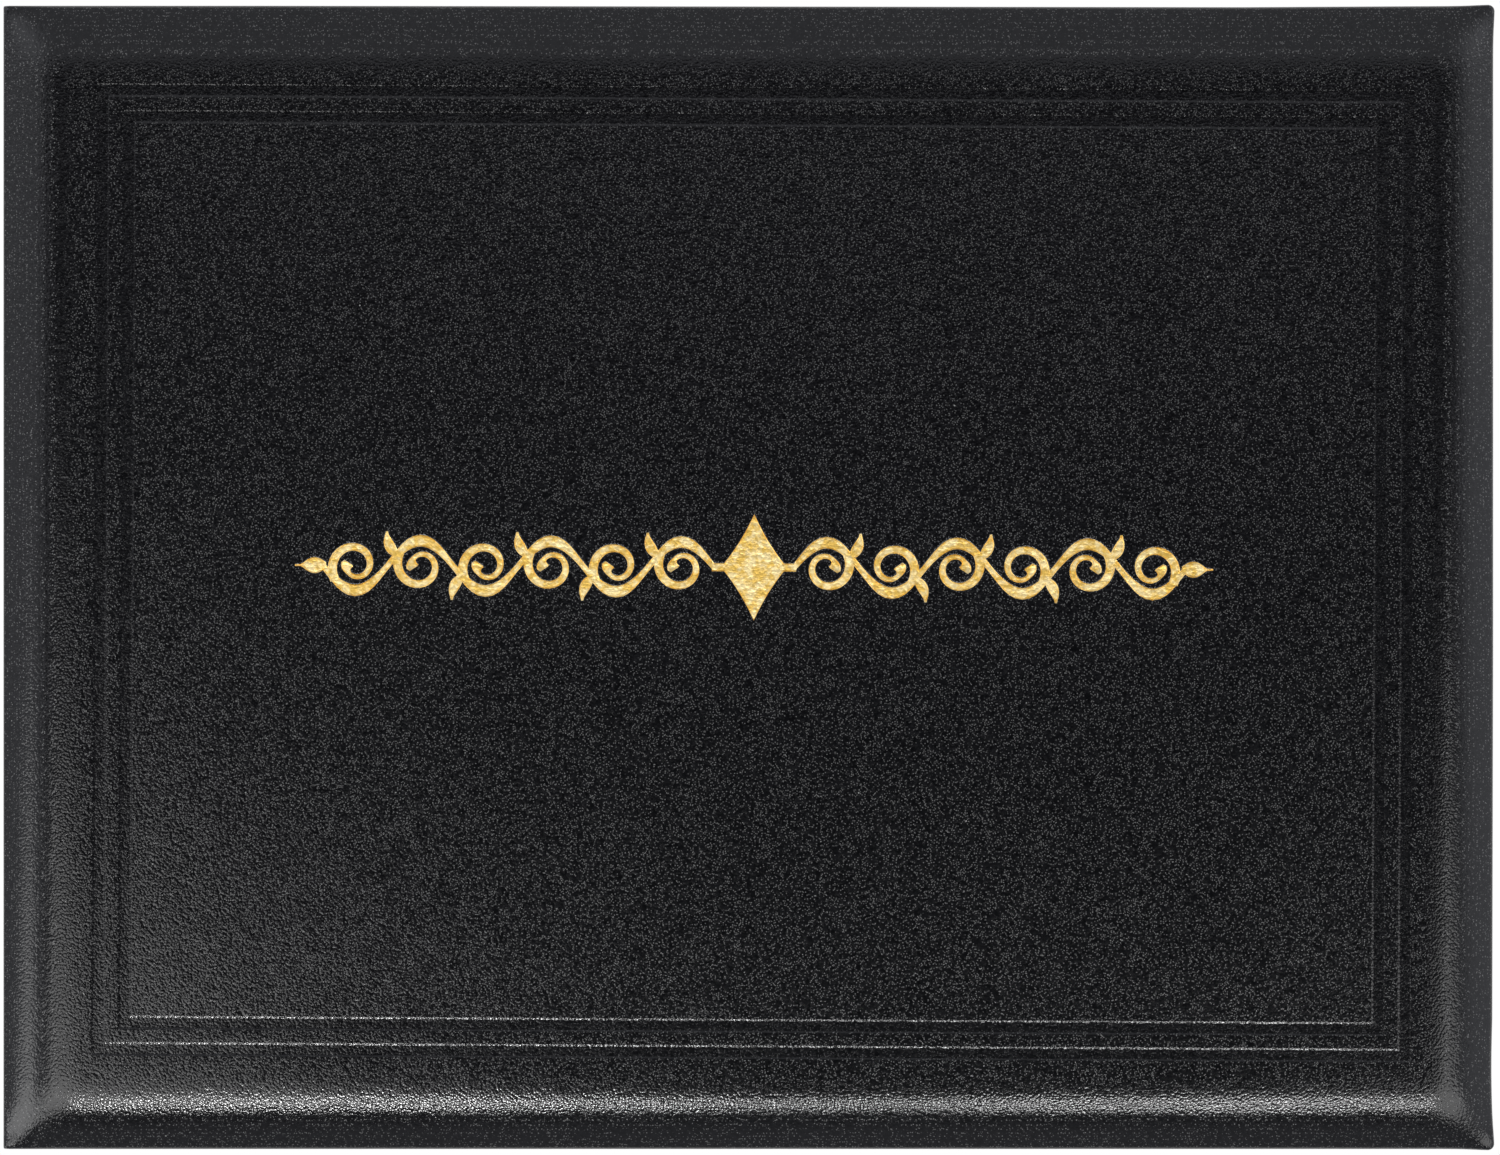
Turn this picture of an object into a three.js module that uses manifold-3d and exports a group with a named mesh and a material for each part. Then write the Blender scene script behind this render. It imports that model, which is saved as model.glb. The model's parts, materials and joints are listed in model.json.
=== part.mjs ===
// A padded diploma cover, closed and lying on its back. It is a turned-edge cover: one sheet of leatherette
// wraps two greyboards and runs round the soft spine between them. Under the front sheet lies a foam pad, and the
// sheet is stamped with a double frame and a gold foil ornament. Inside, each board has a moire-covered panel, and
// the back one holds a letter-size certificate behind a clear sheet, with a ribbon across each corner.
// Units are millimetres. X runs from the spine to the fore-edge, Y from tail to head, and Z up through the closed
// cover. The origin is at the middle of the underside.
import * as THREE from "three";
import { mergeVertices } from "three/addons/utils/BufferGeometryUtils.js";
import Module from "manifold-3d";

// The certificate that the cover is made for, a letter-size sheet, and the panel's spare room round it.
const SHEET_WIDTH = 279.4;
const SHEET_HEIGHT = 215.9;
const PANEL_SPARE_WIDTH = 2.2;
const PANEL_SPARE_HEIGHT = 4.7;

// Sheet and board thicknesses.
const SKIN = 0.6;
const BOARD = 2;
const FOAM = 4;
const HINGE_LINING = 0.4;
const CARD = 0.6;
const CLOTH = 0.25;
const RIBBON = 0.25;
const CLEAR_SHEET = 0.2;

// Clearances.
const BOARD_FIT = 0.2;
const LAYER_GAP = 0.05;
const FOLD_GAP = 0.1;
const LINING_RUN = 0.25;
const RIBBON_TUCK = 0.3;
const CLOSED_GAP = 0.45;

// Turned edges and corners.
const TURN_IN = 15;
const CORNER_RADIUS = 1.4;
const EDGE_ROUND = 0.3;

// The padded front: how far the roll reaches in from each edge, how steeply it starts, and its rounded rim.
const ROLL = 16;
const ROLL_POWER = 3;
const ROLL_LINES = [2, 3.5, 5.5, 8, 11];
const RIM = 1;
const RIM_DROP = 0.35;
const LINE_MARGIN = 0.3;

// The stamped double frame. It sits a little off centre and a little askew, as it was stamped.
const FRAME_SIDE_MARGIN = 16.45;
const FRAME_END_MARGIN = 16.9;
const FRAME_CENTRE = new THREE.Vector2(0.95, 1.4);
const STAMP_TURN = THREE.MathUtils.degToRad(-0.3);
const STAMP_FADE = 12;
const CHANNEL_WIDTH = 2.5;
const CHANNEL_PITCH = 5.25;
const CHANNEL_DEPTH = 0.5;
const CHANNEL_WALL = 0.35;

// The gold ornament: a vine scroll that runs out both ways from a lozenge.
const ORNAMENT_CENTRE = new THREE.Vector2(1.2, 2);
const STAMP_DEPTH = 0.35;
const FOIL = 0.12;
const FOIL_FIT = 0.08;
const SCROLL_START = 8;
const SCROLL_PITCH = 13;
const SCROLL_COUNT = 6;
const SCROLL_RISE = 5;
const STEM_THIN = 0.45;
const STEM_THICK = 1.05;
const STEM_STEPS = 5;
const CURL_TURNS = 1.15;
const CURL_START = THREE.MathUtils.degToRad(35);
const CURL_EYE = 1.5;
const CURL_THIN = 0.35;
const CURL_BALL = 1.15;
const CURL_STEPS = 11;
const CURL_WIND = 0.8;
const BALL_START = 0.82;
const BALL_FULL = 0.97;
const BALL_CLOSE = 0.45;
const LEAF_LENGTH = 5;
const LEAF_WIDTH = 0.95;
const LEAF_ROOT = 0.86;
const LEAF_LEAN = THREE.MathUtils.degToRad(38);
const LEAF_LIFT = THREE.MathUtils.degToRad(28);
const LEAF_ROOT_FULLNESS = 0.15;
const LOZENGE_WIDTH = 13;
const LOZENGE_HEIGHT = 21;
const LOZENGE_PINCH = 0.42;
const TIP_LENGTH = 6;
const TIP_WIDTH = 1.5;
const TIP_LAP = 0.6;
const BAR_LAP = 0.4;
const BAR_EXTRA = 0.25;

// The spine, and the panels inside.
const SPINE_BULGE = 0.6;
const SPINE_STEPS = 8;
const HINGE_LINING_REACH = 19;
const PANEL_MARGIN = 4;
const PANEL_HINGE_MARGIN = 10;
const CLOTH_TURN = 12;
const RIBBON_WIDTH = 10;
const RIBBON_REACH = 32;
const RIBBON_TUCK_LENGTH = 5;

// Overall size, closed: the panel, the margins round it and the hinge beside it.
const HINGE_DEPTH = SPINE_BULGE + SKIN + LAYER_GAP + HINGE_LINING + LINING_RUN + HINGE_LINING + FOLD_GAP;
const COVER_WIDTH = HINGE_DEPTH + PANEL_HINGE_MARGIN + SHEET_WIDTH + PANEL_SPARE_WIDTH + PANEL_MARGIN;
const COVER_HEIGHT = SHEET_HEIGHT + PANEL_SPARE_HEIGHT + 2 * PANEL_MARGIN;
const FRAME_WIDTH = COVER_WIDTH - 2 * FRAME_SIDE_MARGIN;
const FRAME_HEIGHT = COVER_HEIGHT - 2 * FRAME_END_MARGIN;

// Levels, from the table up.
const HALF_WIDTH = COVER_WIDTH / 2;
const HALF_HEIGHT = COVER_HEIGHT / 2;
const BACK_BOARD_TOP = SKIN + BOARD;
const BACK_TURN_TOP = BACK_BOARD_TOP + SKIN;
const BACK_PANEL_BASE = BACK_TURN_TOP + RIBBON_TUCK;
const PANEL_THICK = CLOTH + CARD + CLOTH;
const SHEET_BASE = BACK_PANEL_BASE + PANEL_THICK + LAYER_GAP;
const RIBBON_BASE = SHEET_BASE + CLEAR_SHEET + LAYER_GAP;
const FRONT_PANEL_BASE = RIBBON_BASE + RIBBON + CLOSED_GAP;
const FRONT_TURN_BASE = FRONT_PANEL_BASE + PANEL_THICK;
const FRONT_BOARD_BASE = FRONT_TURN_BASE + SKIN;
const FRONT_BOARD_TOP = FRONT_BOARD_BASE + BOARD;
const PAD_TOP = FRONT_BOARD_TOP + FOAM + SKIN;

// The folds at the spine, and where the boards start beside them.
const FOLD_X = -HALF_WIDTH + SPINE_BULGE + SKIN / 2;
const BACK_FOLD_Z = SKIN / 2;
const FRONT_FOLD_Z = FRONT_BOARD_TOP + SKIN / 2;
const SHEET_LEFT = FOLD_X + SKIN / 2 + FOLD_GAP;
const LINING_LEG_X = FOLD_X + SKIN / 2 + LAYER_GAP + HINGE_LINING + LINING_RUN;
const BOARD_LEFT = LINING_LEG_X + HINGE_LINING + FOLD_GAP;
const BOARD_RIGHT = HALF_WIDTH - SKIN - BOARD_FIT;
const BOARD_HALF_HEIGHT = HALF_HEIGHT - SKIN - BOARD_FIT;
const PANEL_LEFT = BOARD_LEFT + PANEL_HINGE_MARGIN;
const PANEL_RIGHT = HALF_WIDTH - PANEL_MARGIN;
const PANEL_HALF_HEIGHT = HALF_HEIGHT - PANEL_MARGIN;
const PANEL_CENTRE_X = (PANEL_LEFT + PANEL_RIGHT) / 2;
const FAR = COVER_WIDTH;
const OVERCUT = 1;

const wasm = await Module();
wasm.setup();

const leatherette = new THREE.MeshStandardMaterial({ color: 0x1d1d1f, roughness: 0.42, metalness: 0 });
const greyboard = new THREE.MeshStandardMaterial({ color: 0x8d8678, roughness: 0.95, metalness: 0 });
const foam = new THREE.MeshStandardMaterial({ color: 0xe9e6dd, roughness: 0.9, metalness: 0 });
const goldFoil = new THREE.MeshStandardMaterial({ color: 0xd6a93c, roughness: 0.35, metalness: 1 });
const moire = new THREE.MeshStandardMaterial({ color: 0xf1eee6, roughness: 0.5, metalness: 0 });
const panelCard = new THREE.MeshStandardMaterial({ color: 0xd9d4c7, roughness: 0.9, metalness: 0 });
const satin = new THREE.MeshStandardMaterial({ color: 0xf7f4ec, roughness: 0.35, metalness: 0 });
const clearFilm = new THREE.MeshStandardMaterial({
  color: 0xffffff,
  roughness: 0.08,
  transparent: true,
  opacity: 0.2,
});

// A closed three.js geometry as a solid that can be joined and cut.
function solidOf(geometry) {
  const bare = geometry.index ? geometry.toNonIndexed() : geometry.clone();
  for (const name of Object.keys(bare.attributes)) if (name !== "position") bare.deleteAttribute(name);
  const merged = mergeVertices(bare, 1e-4);
  return new wasm.Manifold(
    new wasm.Mesh({
      numProp: 3,
      vertProperties: merged.getAttribute("position").array,
      triVerts: new Uint32Array(merged.index.array),
    }),
  );
}

// A solid as a three.js geometry, with flat facets.
function geometryOf(solid) {
  const cut = solid.getMesh();
  const indexed = new THREE.BufferGeometry();
  indexed.setAttribute("position", new THREE.BufferAttribute(cut.vertProperties, cut.numProp));
  indexed.setIndex(new THREE.BufferAttribute(cut.triVerts, 1));
  const faceted = indexed.toNonIndexed();
  faceted.computeVertexNormals();
  return faceted;
}

function boxGeometry(low, high) {
  const size = new THREE.Vector3().subVectors(high, low);
  const middle = new THREE.Vector3().addVectors(low, high).multiplyScalar(0.5);
  return new THREE.BoxGeometry(size.x, size.y, size.z).translate(middle.x, middle.y, middle.z);
}

function boxSolid(low, high) {
  return solidOf(boxGeometry(low, high));
}

// A shape drawn on X and Z, drawn out along Y over the given half length.
function alongSpine(shape, halfLength) {
  const options = { depth: 2 * halfLength, bevelEnabled: false, curveSegments: SPINE_STEPS };
  return new THREE.ExtrudeGeometry(shape, options).rotateX(Math.PI / 2).translate(0, halfLength, 0);
}

function up(shape, low, high) {
  return new THREE.ExtrudeGeometry(shape, { depth: high - low, bevelEnabled: false }).translate(0, 0, low);
}

// The cover's outline in plan: square at the spine, rounded at the two corners of the fore-edge.
function coverOutline(left, inset) {
  const [right, half, r] = [HALF_WIDTH - inset, HALF_HEIGHT - inset, CORNER_RADIUS - inset];
  return new THREE.Shape()
    .moveTo(left, -half)
    .lineTo(right - r, -half)
    .absarc(right - r, -half + r, r, -Math.PI / 2, 0)
    .lineTo(right, half - r)
    .absarc(right - r, half - r, r, 0, Math.PI / 2)
    .lineTo(left, half);
}

// How full the pad is at a distance in from one edge, from 0 at the edge to 1 where it is flat.
function fullness(distance) {
  return 1 - (1 - THREE.MathUtils.clamp(distance / ROLL, 0, 1)) ** ROLL_POWER;
}

// The pad's height over its edge. It falls away towards the corners, where the sheet is pulled down.
function padRise(x, y) {
  return FOAM * fullness(Math.min(x - FOLD_X, HALF_WIDTH - x)) * fullness(HALF_HEIGHT - Math.abs(y));
}

// The rim, where the sheet turns down over the board's edge.
function rimDrop(x, y) {
  const distance = Math.min(HALF_WIDTH - x, HALF_HEIGHT - Math.abs(y));
  return RIM_DROP * (1 - THREE.MathUtils.clamp(distance / RIM, 0, 1)) ** 2;
}

// The frame's section, by the distance in from its outer edge: two channels with sloping walls.
function channelDepth(inward) {
  const inChannel = inward > CHANNEL_PITCH - CHANNEL_WALL ? inward - CHANNEL_PITCH : inward;
  const wall = Math.min(inChannel, CHANNEL_WIDTH - inChannel) / CHANNEL_WALL;
  return CHANNEL_DEPTH * THREE.MathUtils.clamp(wall, 0, 1);
}

function frameDepth(u, v) {
  const [dx, dy] = [u - FRAME_CENTRE.x, v - FRAME_CENTRE.y];
  return channelDepth(Math.min(FRAME_WIDTH / 2 - Math.abs(dx), FRAME_HEIGHT / 2 - Math.abs(dy)));
}

// The lines of the pad's grid in one direction: close together at the edges, and one at each foot and lip of a
// channel. The frame's lines replace any line of the roll that they would crowd.
function gridLines(low, high, frameLow, frameHigh) {
  const wallLines = [0, CHANNEL_WALL, CHANNEL_WIDTH - CHANNEL_WALL, CHANNEL_WIDTH];
  const inward = [0, CHANNEL_PITCH].flatMap((start) => wallLines.map((line) => start + line));
  const frame = inward.flatMap((d) => [frameLow + d, frameHigh - d]);
  const roll = [0, RIM / 2, RIM, ...ROLL_LINES].flatMap((d) => [low + d, high - d]);
  const clear = roll.filter((line) => frame.every((other) => Math.abs(other - line) > RIM));
  return [...clear, ...frame].sort((a, b) => a - b);
}

// Where a point of the grid lies once the stamp's small turn is added. The turn fades out towards the edges.
function placed(u, v) {
  const edge = Math.min(u - FOLD_X, HALF_WIDTH - u, HALF_HEIGHT - Math.abs(v));
  const turn = STAMP_TURN * THREE.MathUtils.smoothstep(edge, 0, STAMP_FADE);
  return new THREE.Vector2(u, v).rotateAround(FRAME_CENTRE, turn);
}

const gridX = gridLines(
  FOLD_X,
  HALF_WIDTH,
  FRAME_CENTRE.x - FRAME_WIDTH / 2,
  FRAME_CENTRE.x + FRAME_WIDTH / 2,
);
const gridY = gridLines(
  -HALF_HEIGHT,
  HALF_HEIGHT,
  FRAME_CENTRE.y - FRAME_HEIGHT / 2,
  FRAME_CENTRE.y + FRAME_HEIGHT / 2,
);

// The grid's lines between two edges. A line that would crowd an edge is left out.
function linesBetween(lines, low, high) {
  return [low, ...lines.filter((line) => line > low + LINE_MARGIN && line < high - LINE_MARGIN), high];
}

// A point pulled in to the cover's outline, inset by the given amount: straight sides, and the two round corners.
function insideOutline(point, left, inset) {
  const [right, half, r] = [HALF_WIDTH - inset, HALF_HEIGHT - inset, CORNER_RADIUS - inset];
  const x = THREE.MathUtils.clamp(point.x, left, right);
  const y = THREE.MathUtils.clamp(point.y, -half, half);
  const corner = new THREE.Vector2(right - r, Math.sign(y) * (half - r));
  const out = new THREE.Vector2(x, y).sub(corner);
  return out.x > 0 && out.y * Math.sign(y) > 0 ? out.clampLength(0, r).add(corner) : new THREE.Vector2(x, y);
}

// A body with the pad's top surface, sunk by the given amount, a flat floor, and the cover's outline, inset.
function paddedBody({ sunk, inset, left, floor, rimmed }) {
  const across = linesBetween(gridX, left, HALF_WIDTH - inset);
  const along = linesBetween(gridY, -HALF_HEIGHT + inset, HALF_HEIGHT - inset);
  const [columns, rows] = [across.length, along.length];
  const points = [];
  for (const v of along) {
    for (const u of across) {
      const flat = placed(u, v);
      const rim = rimmed ? rimDrop(flat.x, flat.y) : 0;
      const { x, y } = insideOutline(flat, left, inset);
      points.push([x, y, PAD_TOP - FOAM + padRise(x, y) - frameDepth(u, v) - rim - sunk]);
    }
  }
  const faces = [];
  for (let j = 0; j < rows - 1; j++) {
    for (let i = 0; i < columns - 1; i++) {
      const a = j * columns + i;
      faces.push([a, a + 1, a + columns + 1], [a, a + columns + 1, a + columns]);
    }
  }
  const span = (count) => [...Array(count - 1).keys()];
  const round = [
    ...span(columns),
    ...span(rows).map((j) => (j + 1) * columns - 1),
    ...span(columns).map((i) => rows * columns - 1 - i),
    ...span(rows).map((j) => (rows - 1 - j) * columns),
  ];
  const foot = points.length;
  round.forEach((k) => points.push([points[k][0], points[k][1], floor]));
  const middle = points.push([0, 0, floor]) - 1;
  round.forEach((k, n) => {
    const m = (n + 1) % round.length;
    faces.push([k, foot + n, foot + m], [k, foot + m, round[m]], [middle, foot + m, foot + n]);
  });
  const geometry = new THREE.BufferGeometry();
  geometry.setAttribute("position", new THREE.Float32BufferAttribute(points.flat(), 3));
  geometry.setIndex(faces.flat());
  return geometry;
}

// A brush stroke: a curve with a width that changes along it, as a closed outline.
function stroke(curve, halfWidthAt, steps) {
  const [left, right] = [[], []];
  for (let i = 0; i <= steps; i++) {
    const t = i / steps;
    const point = curve(t);
    const along = new THREE.Vector2().subVectors(curve(t + 1e-3), curve(t - 1e-3)).normalize();
    const across = new THREE.Vector2(-along.y, along.x).multiplyScalar(halfWidthAt(t));
    left.push(point.clone().add(across));
    right.unshift(point.clone().sub(across));
  }
  return new THREE.Shape([...left, ...right]);
}

// The stem: a wave that swells over each hump and tapers to a point at the end.
function stemStroke(side, slim) {
  const length = SCROLL_PITCH * SCROLL_COUNT;
  const curve = (t) => {
    const x = t * length;
    return new THREE.Vector2(side * (SCROLL_START + x), SCROLL_RISE * Math.sin((Math.PI * x) / SCROLL_PITCH));
  };
  const halfWidth = (t) => {
    const swell = Math.sin(Math.PI * t * SCROLL_COUNT) ** 2;
    return THREE.MathUtils.lerp(STEM_THIN, STEM_THICK, swell) - slim;
  };
  return stroke(curve, halfWidth, STEM_STEPS * SCROLL_COUNT);
}

// A curl: it leaves the stem past the top of a hump, turns inwards and ends in a ball.
function curlStroke(side, index, slim) {
  const hump = index % 2 === 0 ? 1 : -1;
  const centre = SCROLL_START + SCROLL_PITCH * (index + 0.5);
  const curve = (t) => {
    const radius = THREE.MathUtils.lerp(SCROLL_RISE, CURL_EYE, Math.max(t, 0) ** CURL_WIND);
    const angle = CURL_START - t * CURL_TURNS * 2 * Math.PI;
    return new THREE.Vector2(side * (centre + radius * Math.cos(angle)), hump * radius * Math.sin(angle));
  };
  const halfWidth = (t) => {
    const swell = THREE.MathUtils.smoothstep(t, BALL_START, BALL_FULL);
    const ball = swell * (1 - BALL_CLOSE * THREE.MathUtils.smoothstep(t, BALL_FULL, 1));
    const taper = THREE.MathUtils.lerp(STEM_THICK * 0.8, CURL_THIN, Math.min(t / 0.8, 1));
    return THREE.MathUtils.lerp(taper, CURL_BALL, ball) - slim;
  };
  return stroke(curve, halfWidth, CURL_STEPS);
}

// A leaf: it springs from the stem between two humps and points outwards.
function leafStroke(side, index, slim) {
  const hump = index % 2 === 0 ? 1 : -1;
  const rootX = SCROLL_START + SCROLL_PITCH * (index + LEAF_ROOT);
  const rootY = hump * SCROLL_RISE * Math.sin(Math.PI * LEAF_ROOT);
  const curve = (t) => {
    const lean = LEAF_LEAN + LEAF_LIFT * t;
    const reach = LEAF_LENGTH * t;
    return new THREE.Vector2(side * (rootX + reach * Math.cos(lean)), rootY + hump * reach * Math.sin(lean));
  };
  const halfWidth = (t) => {
    const belly = Math.sin(Math.PI * THREE.MathUtils.lerp(LEAF_ROOT_FULLNESS, 1, t));
    return Math.max(LEAF_WIDTH * belly, 2 * FOIL_FIT) - slim;
  };
  return stroke(curve, halfWidth, 4);
}

// The pointed tip at each end of the vine.
function tipStroke(side, slim) {
  const start = SCROLL_START + SCROLL_PITCH * SCROLL_COUNT - TIP_LAP;
  const curve = (t) => new THREE.Vector2(side * (start + TIP_LENGTH * t), 0);
  const halfWidth = (t) => {
    const belly = Math.sin(Math.PI * Math.min(0.1 + 1.1 * t, 1));
    return Math.max(TIP_WIDTH * belly, 2 * FOIL_FIT) - slim;
  };
  return stroke(curve, halfWidth, 6);
}

// The lozenge in the middle, with hollow sides and a bar that joins the two stems.
function lozengeShape(slim) {
  const [w, h] = [LOZENGE_WIDTH / 2 - slim, LOZENGE_HEIGHT / 2 - slim];
  const [cx, cy] = [w * LOZENGE_PINCH, h * LOZENGE_PINCH];
  return new THREE.Shape()
    .moveTo(w, 0)
    .quadraticCurveTo(cx, cy, 0, h)
    .quadraticCurveTo(-cx, cy, -w, 0)
    .quadraticCurveTo(-cx, -cy, 0, -h)
    .quadraticCurveTo(cx, -cy, w, 0);
}

function barShape(slim) {
  const reach = SCROLL_START + BAR_LAP;
  const half = STEM_THIN + BAR_EXTRA - slim;
  return new THREE.Shape().moveTo(-reach, -half).lineTo(reach, -half).lineTo(reach, half).lineTo(-reach, half);
}

// The whole ornament as one solid between two levels. Slim makes every stroke thinner by that much a side.
function ornamentSolid(slim, low, high) {
  const shapes = [lozengeShape(slim), barShape(slim)];
  for (const side of [-1, 1]) {
    shapes.push(stemStroke(side, slim), tipStroke(side, slim));
    for (let i = 0; i < SCROLL_COUNT; i++) {
      shapes.push(curlStroke(side, i, slim));
      if (i < SCROLL_COUNT - 1) shapes.push(leafStroke(side, i, slim));
    }
  }
  const plate = { depth: high - low, bevelEnabled: false, curveSegments: 6 };
  return shapes
    .map((shape) => new THREE.ExtrudeGeometry(shape, plate))
    .map((geometry) => geometry.rotateZ(STAMP_TURN).translate(ORNAMENT_CENTRE.x, ORNAMENT_CENTRE.y, low))
    .map(solidOf)
    .reduce((all, one) => all.add(one));
}

// The part of the turned edges that is cut away: inside the turn-in, and beside the spine.
function turnWindow(low, high) {
  return boxSolid(
    new THREE.Vector3(-FAR, -HALF_HEIGHT + TURN_IN, low),
    new THREE.Vector3(HALF_WIDTH - TURN_IN, HALF_HEIGHT - TURN_IN, high),
  );
}

function besideSpine(low, high) {
  return boxSolid(new THREE.Vector3(-FAR, -FAR, low), new THREE.Vector3(BOARD_LEFT, FAR, high));
}

// The front sheet: it lies over the pad, wraps three edges of the board and is turned in under it.
function frontSheet() {
  const outside = { sunk: 0, inset: 0, left: SHEET_LEFT, floor: FRONT_TURN_BASE, rimmed: true };
  const inside = { sunk: SKIN, inset: SKIN, left: FOLD_X, floor: FRONT_BOARD_BASE, rimmed: false };
  return solidOf(paddedBody(outside))
    .subtract(solidOf(paddedBody(inside)))
    .subtract(turnWindow(FRONT_TURN_BASE - OVERCUT, FRONT_BOARD_BASE))
    .subtract(besideSpine(FRONT_TURN_BASE - OVERCUT, FRONT_FOLD_Z - SKIN / 2))
    .subtract(ornamentSolid(0, PAD_TOP - STAMP_DEPTH, PAD_TOP + OVERCUT));
}

// The pad is cut flush with the board and pressed thin at its edges by the sheet.
function foamPad() {
  const inset = SKIN + BOARD_FIT;
  return paddedBody({ sunk: SKIN + LAYER_GAP, inset, left: BOARD_LEFT, floor: FRONT_BOARD_TOP, rimmed: false });
}

// The back sheet is the same sheet without a pad: flat, with three edges wrapped and turned in.
function backSheet() {
  const bevel = {
    depth: BACK_TURN_TOP - 2 * EDGE_ROUND,
    bevelSize: EDGE_ROUND,
    bevelOffset: -EDGE_ROUND,
    bevelThickness: EDGE_ROUND,
    bevelSegments: 2,
    curveSegments: 5,
  };
  const wrapped = new THREE.ExtrudeGeometry(coverOutline(FOLD_X, 0), bevel).translate(0, 0, EDGE_ROUND);
  const cutTop = BACK_TURN_TOP + OVERCUT;
  const hingeCut = boxSolid(new THREE.Vector3(-FAR, -FAR, -OVERCUT), new THREE.Vector3(SHEET_LEFT, FAR, cutTop));
  return solidOf(wrapped)
    .subtract(solidOf(up(coverOutline(-FAR, SKIN), SKIN, BACK_BOARD_TOP)))
    .subtract(turnWindow(BACK_BOARD_TOP, cutTop))
    .subtract(besideSpine(SKIN, cutTop))
    .subtract(hingeCut);
}

function boardGeometry(low, high) {
  return up(coverOutline(BOARD_LEFT, SKIN + BOARD_FIT), low, high);
}

// The strip of lining at the hinge of one board: it lies on the board's inner face and turns over its edge.
function hingeLining(innerFace, outward) {
  const edge = innerFace - outward * (BOARD - FOLD_GAP);
  const face = innerFace + outward * HINGE_LINING;
  const inner = BOARD_LEFT - FOLD_GAP;
  const shape = new THREE.Shape()
    .moveTo(LINING_LEG_X, edge)
    .lineTo(inner, edge)
    .lineTo(inner, innerFace)
    .lineTo(LINING_LEG_X + HINGE_LINING_REACH, innerFace)
    .lineTo(LINING_LEG_X + HINGE_LINING_REACH, face)
    .lineTo(LINING_LEG_X, face);
  return alongSpine(shape, HALF_HEIGHT - TURN_IN - RIBBON_TUCK);
}

// A strip of the spine's section: an arc that bulges outwards from one fold to the other, with rounded ends.
function spineStrip(inward, thickness, trim, halfLength) {
  const middle = (BACK_FOLD_Z + FRONT_FOLD_Z) / 2;
  const reach = (FRONT_FOLD_Z - BACK_FOLD_Z) / 2 - trim;
  const radius = (reach ** 2 + SPINE_BULGE ** 2) / (2 * SPINE_BULGE);
  const centre = new THREE.Vector2(FOLD_X + inward - SPINE_BULGE + radius, middle);
  const sweep = Math.asin(reach / radius);
  const [outer, inner, end] = [radius + thickness / 2, radius - thickness / 2, thickness / 2];
  const [head, tail] = [sweep, -sweep].map(
    (a) => new THREE.Vector2(centre.x - radius * Math.cos(a), centre.y + radius * Math.sin(a)),
  );
  const shape = new THREE.Shape()
    .absarc(centre.x, centre.y, outer, Math.PI - sweep, Math.PI + sweep, false)
    .absarc(tail.x, tail.y, end, Math.PI + sweep, 2 * Math.PI + sweep, false)
    .absarc(centre.x, centre.y, inner, Math.PI + sweep, Math.PI - sweep, true)
    .absarc(head.x, head.y, end, -sweep, Math.PI - sweep, false);
  return alongSpine(shape, halfLength);
}

// The moire cloth of one panel: it covers the card's face, wraps its four edges and is turned under it.
function panelCloth(base, faceUp) {
  const [windowLow, windowHigh] = faceUp
    ? [base - OVERCUT, base + CLOTH]
    : [base + CLOTH + CARD, base + PANEL_THICK + OVERCUT];
  const all = boxSolid(
    new THREE.Vector3(PANEL_LEFT, -PANEL_HALF_HEIGHT, base),
    new THREE.Vector3(PANEL_RIGHT, PANEL_HALF_HEIGHT, base + PANEL_THICK),
  );
  const window = boxSolid(
    new THREE.Vector3(PANEL_LEFT + CLOTH_TURN, -PANEL_HALF_HEIGHT + CLOTH_TURN, windowLow),
    new THREE.Vector3(PANEL_RIGHT - CLOTH_TURN, PANEL_HALF_HEIGHT - CLOTH_TURN, windowHigh),
  );
  return all.subtract(solidOf(cardGeometry(base, 0))).subtract(window);
}

function cardGeometry(base, fit) {
  return boxGeometry(
    new THREE.Vector3(PANEL_LEFT + CLOTH + fit, -PANEL_HALF_HEIGHT + CLOTH + fit, base + CLOTH),
    new THREE.Vector3(PANEL_RIGHT - CLOTH - fit, PANEL_HALF_HEIGHT - CLOTH - fit, base + CLOTH + CARD),
  );
}

// A ribbon across one corner of the back panel. It is drawn for the corner at the origin, with the panel towards
// negative X and Y: over the face, down both edges, and tucked back under the panel.
function ribbonSolid() {
  const out = LAYER_GAP + RIBBON;
  const [near, far] = [RIBBON_REACH, RIBBON_REACH + RIBBON_WIDTH * Math.SQRT2];
  const under = RIBBON_TUCK_LENGTH;
  const floor = BACK_TURN_TOP + LAYER_GAP / 2;
  const top = RIBBON_BASE + RIBBON / 2;
  const band = new THREE.Shape()
    .moveTo(out - near, out)
    .lineTo(out - far, out)
    .lineTo(out, out - far)
    .lineTo(out, out - near);
  const leg = (x0, y0, x1, y1) => boxSolid(new THREE.Vector3(x0, y0, floor), new THREE.Vector3(x1, y1, top));
  const tuck = (points) => {
    const shape = new THREE.Shape(points.map(([x, y]) => new THREE.Vector2(x, y)));
    return solidOf(up(shape, floor, floor + RIBBON));
  };
  const headTuck = [
    [out - far, out],
    [out - far - under, out - under],
    [out - near - under, out - under],
    [out - near, out],
  ];
  const sideTuck = headTuck.map(([x, y]) => [y, x]).reverse();
  return solidOf(up(band, RIBBON_BASE, RIBBON_BASE + RIBBON))
    .add(leg(out - far, LAYER_GAP, out - near, out))
    .add(leg(LAYER_GAP, out - far, out, out - near))
    .add(tuck(headTuck))
    .add(tuck(sideTuck));
}

const root = new THREE.Group();

function addPiece(name, geometry, material, parent = root) {
  const mesh = new THREE.Mesh(geometry, material);
  mesh.name = name;
  parent.add(mesh);
  return mesh;
}

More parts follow.
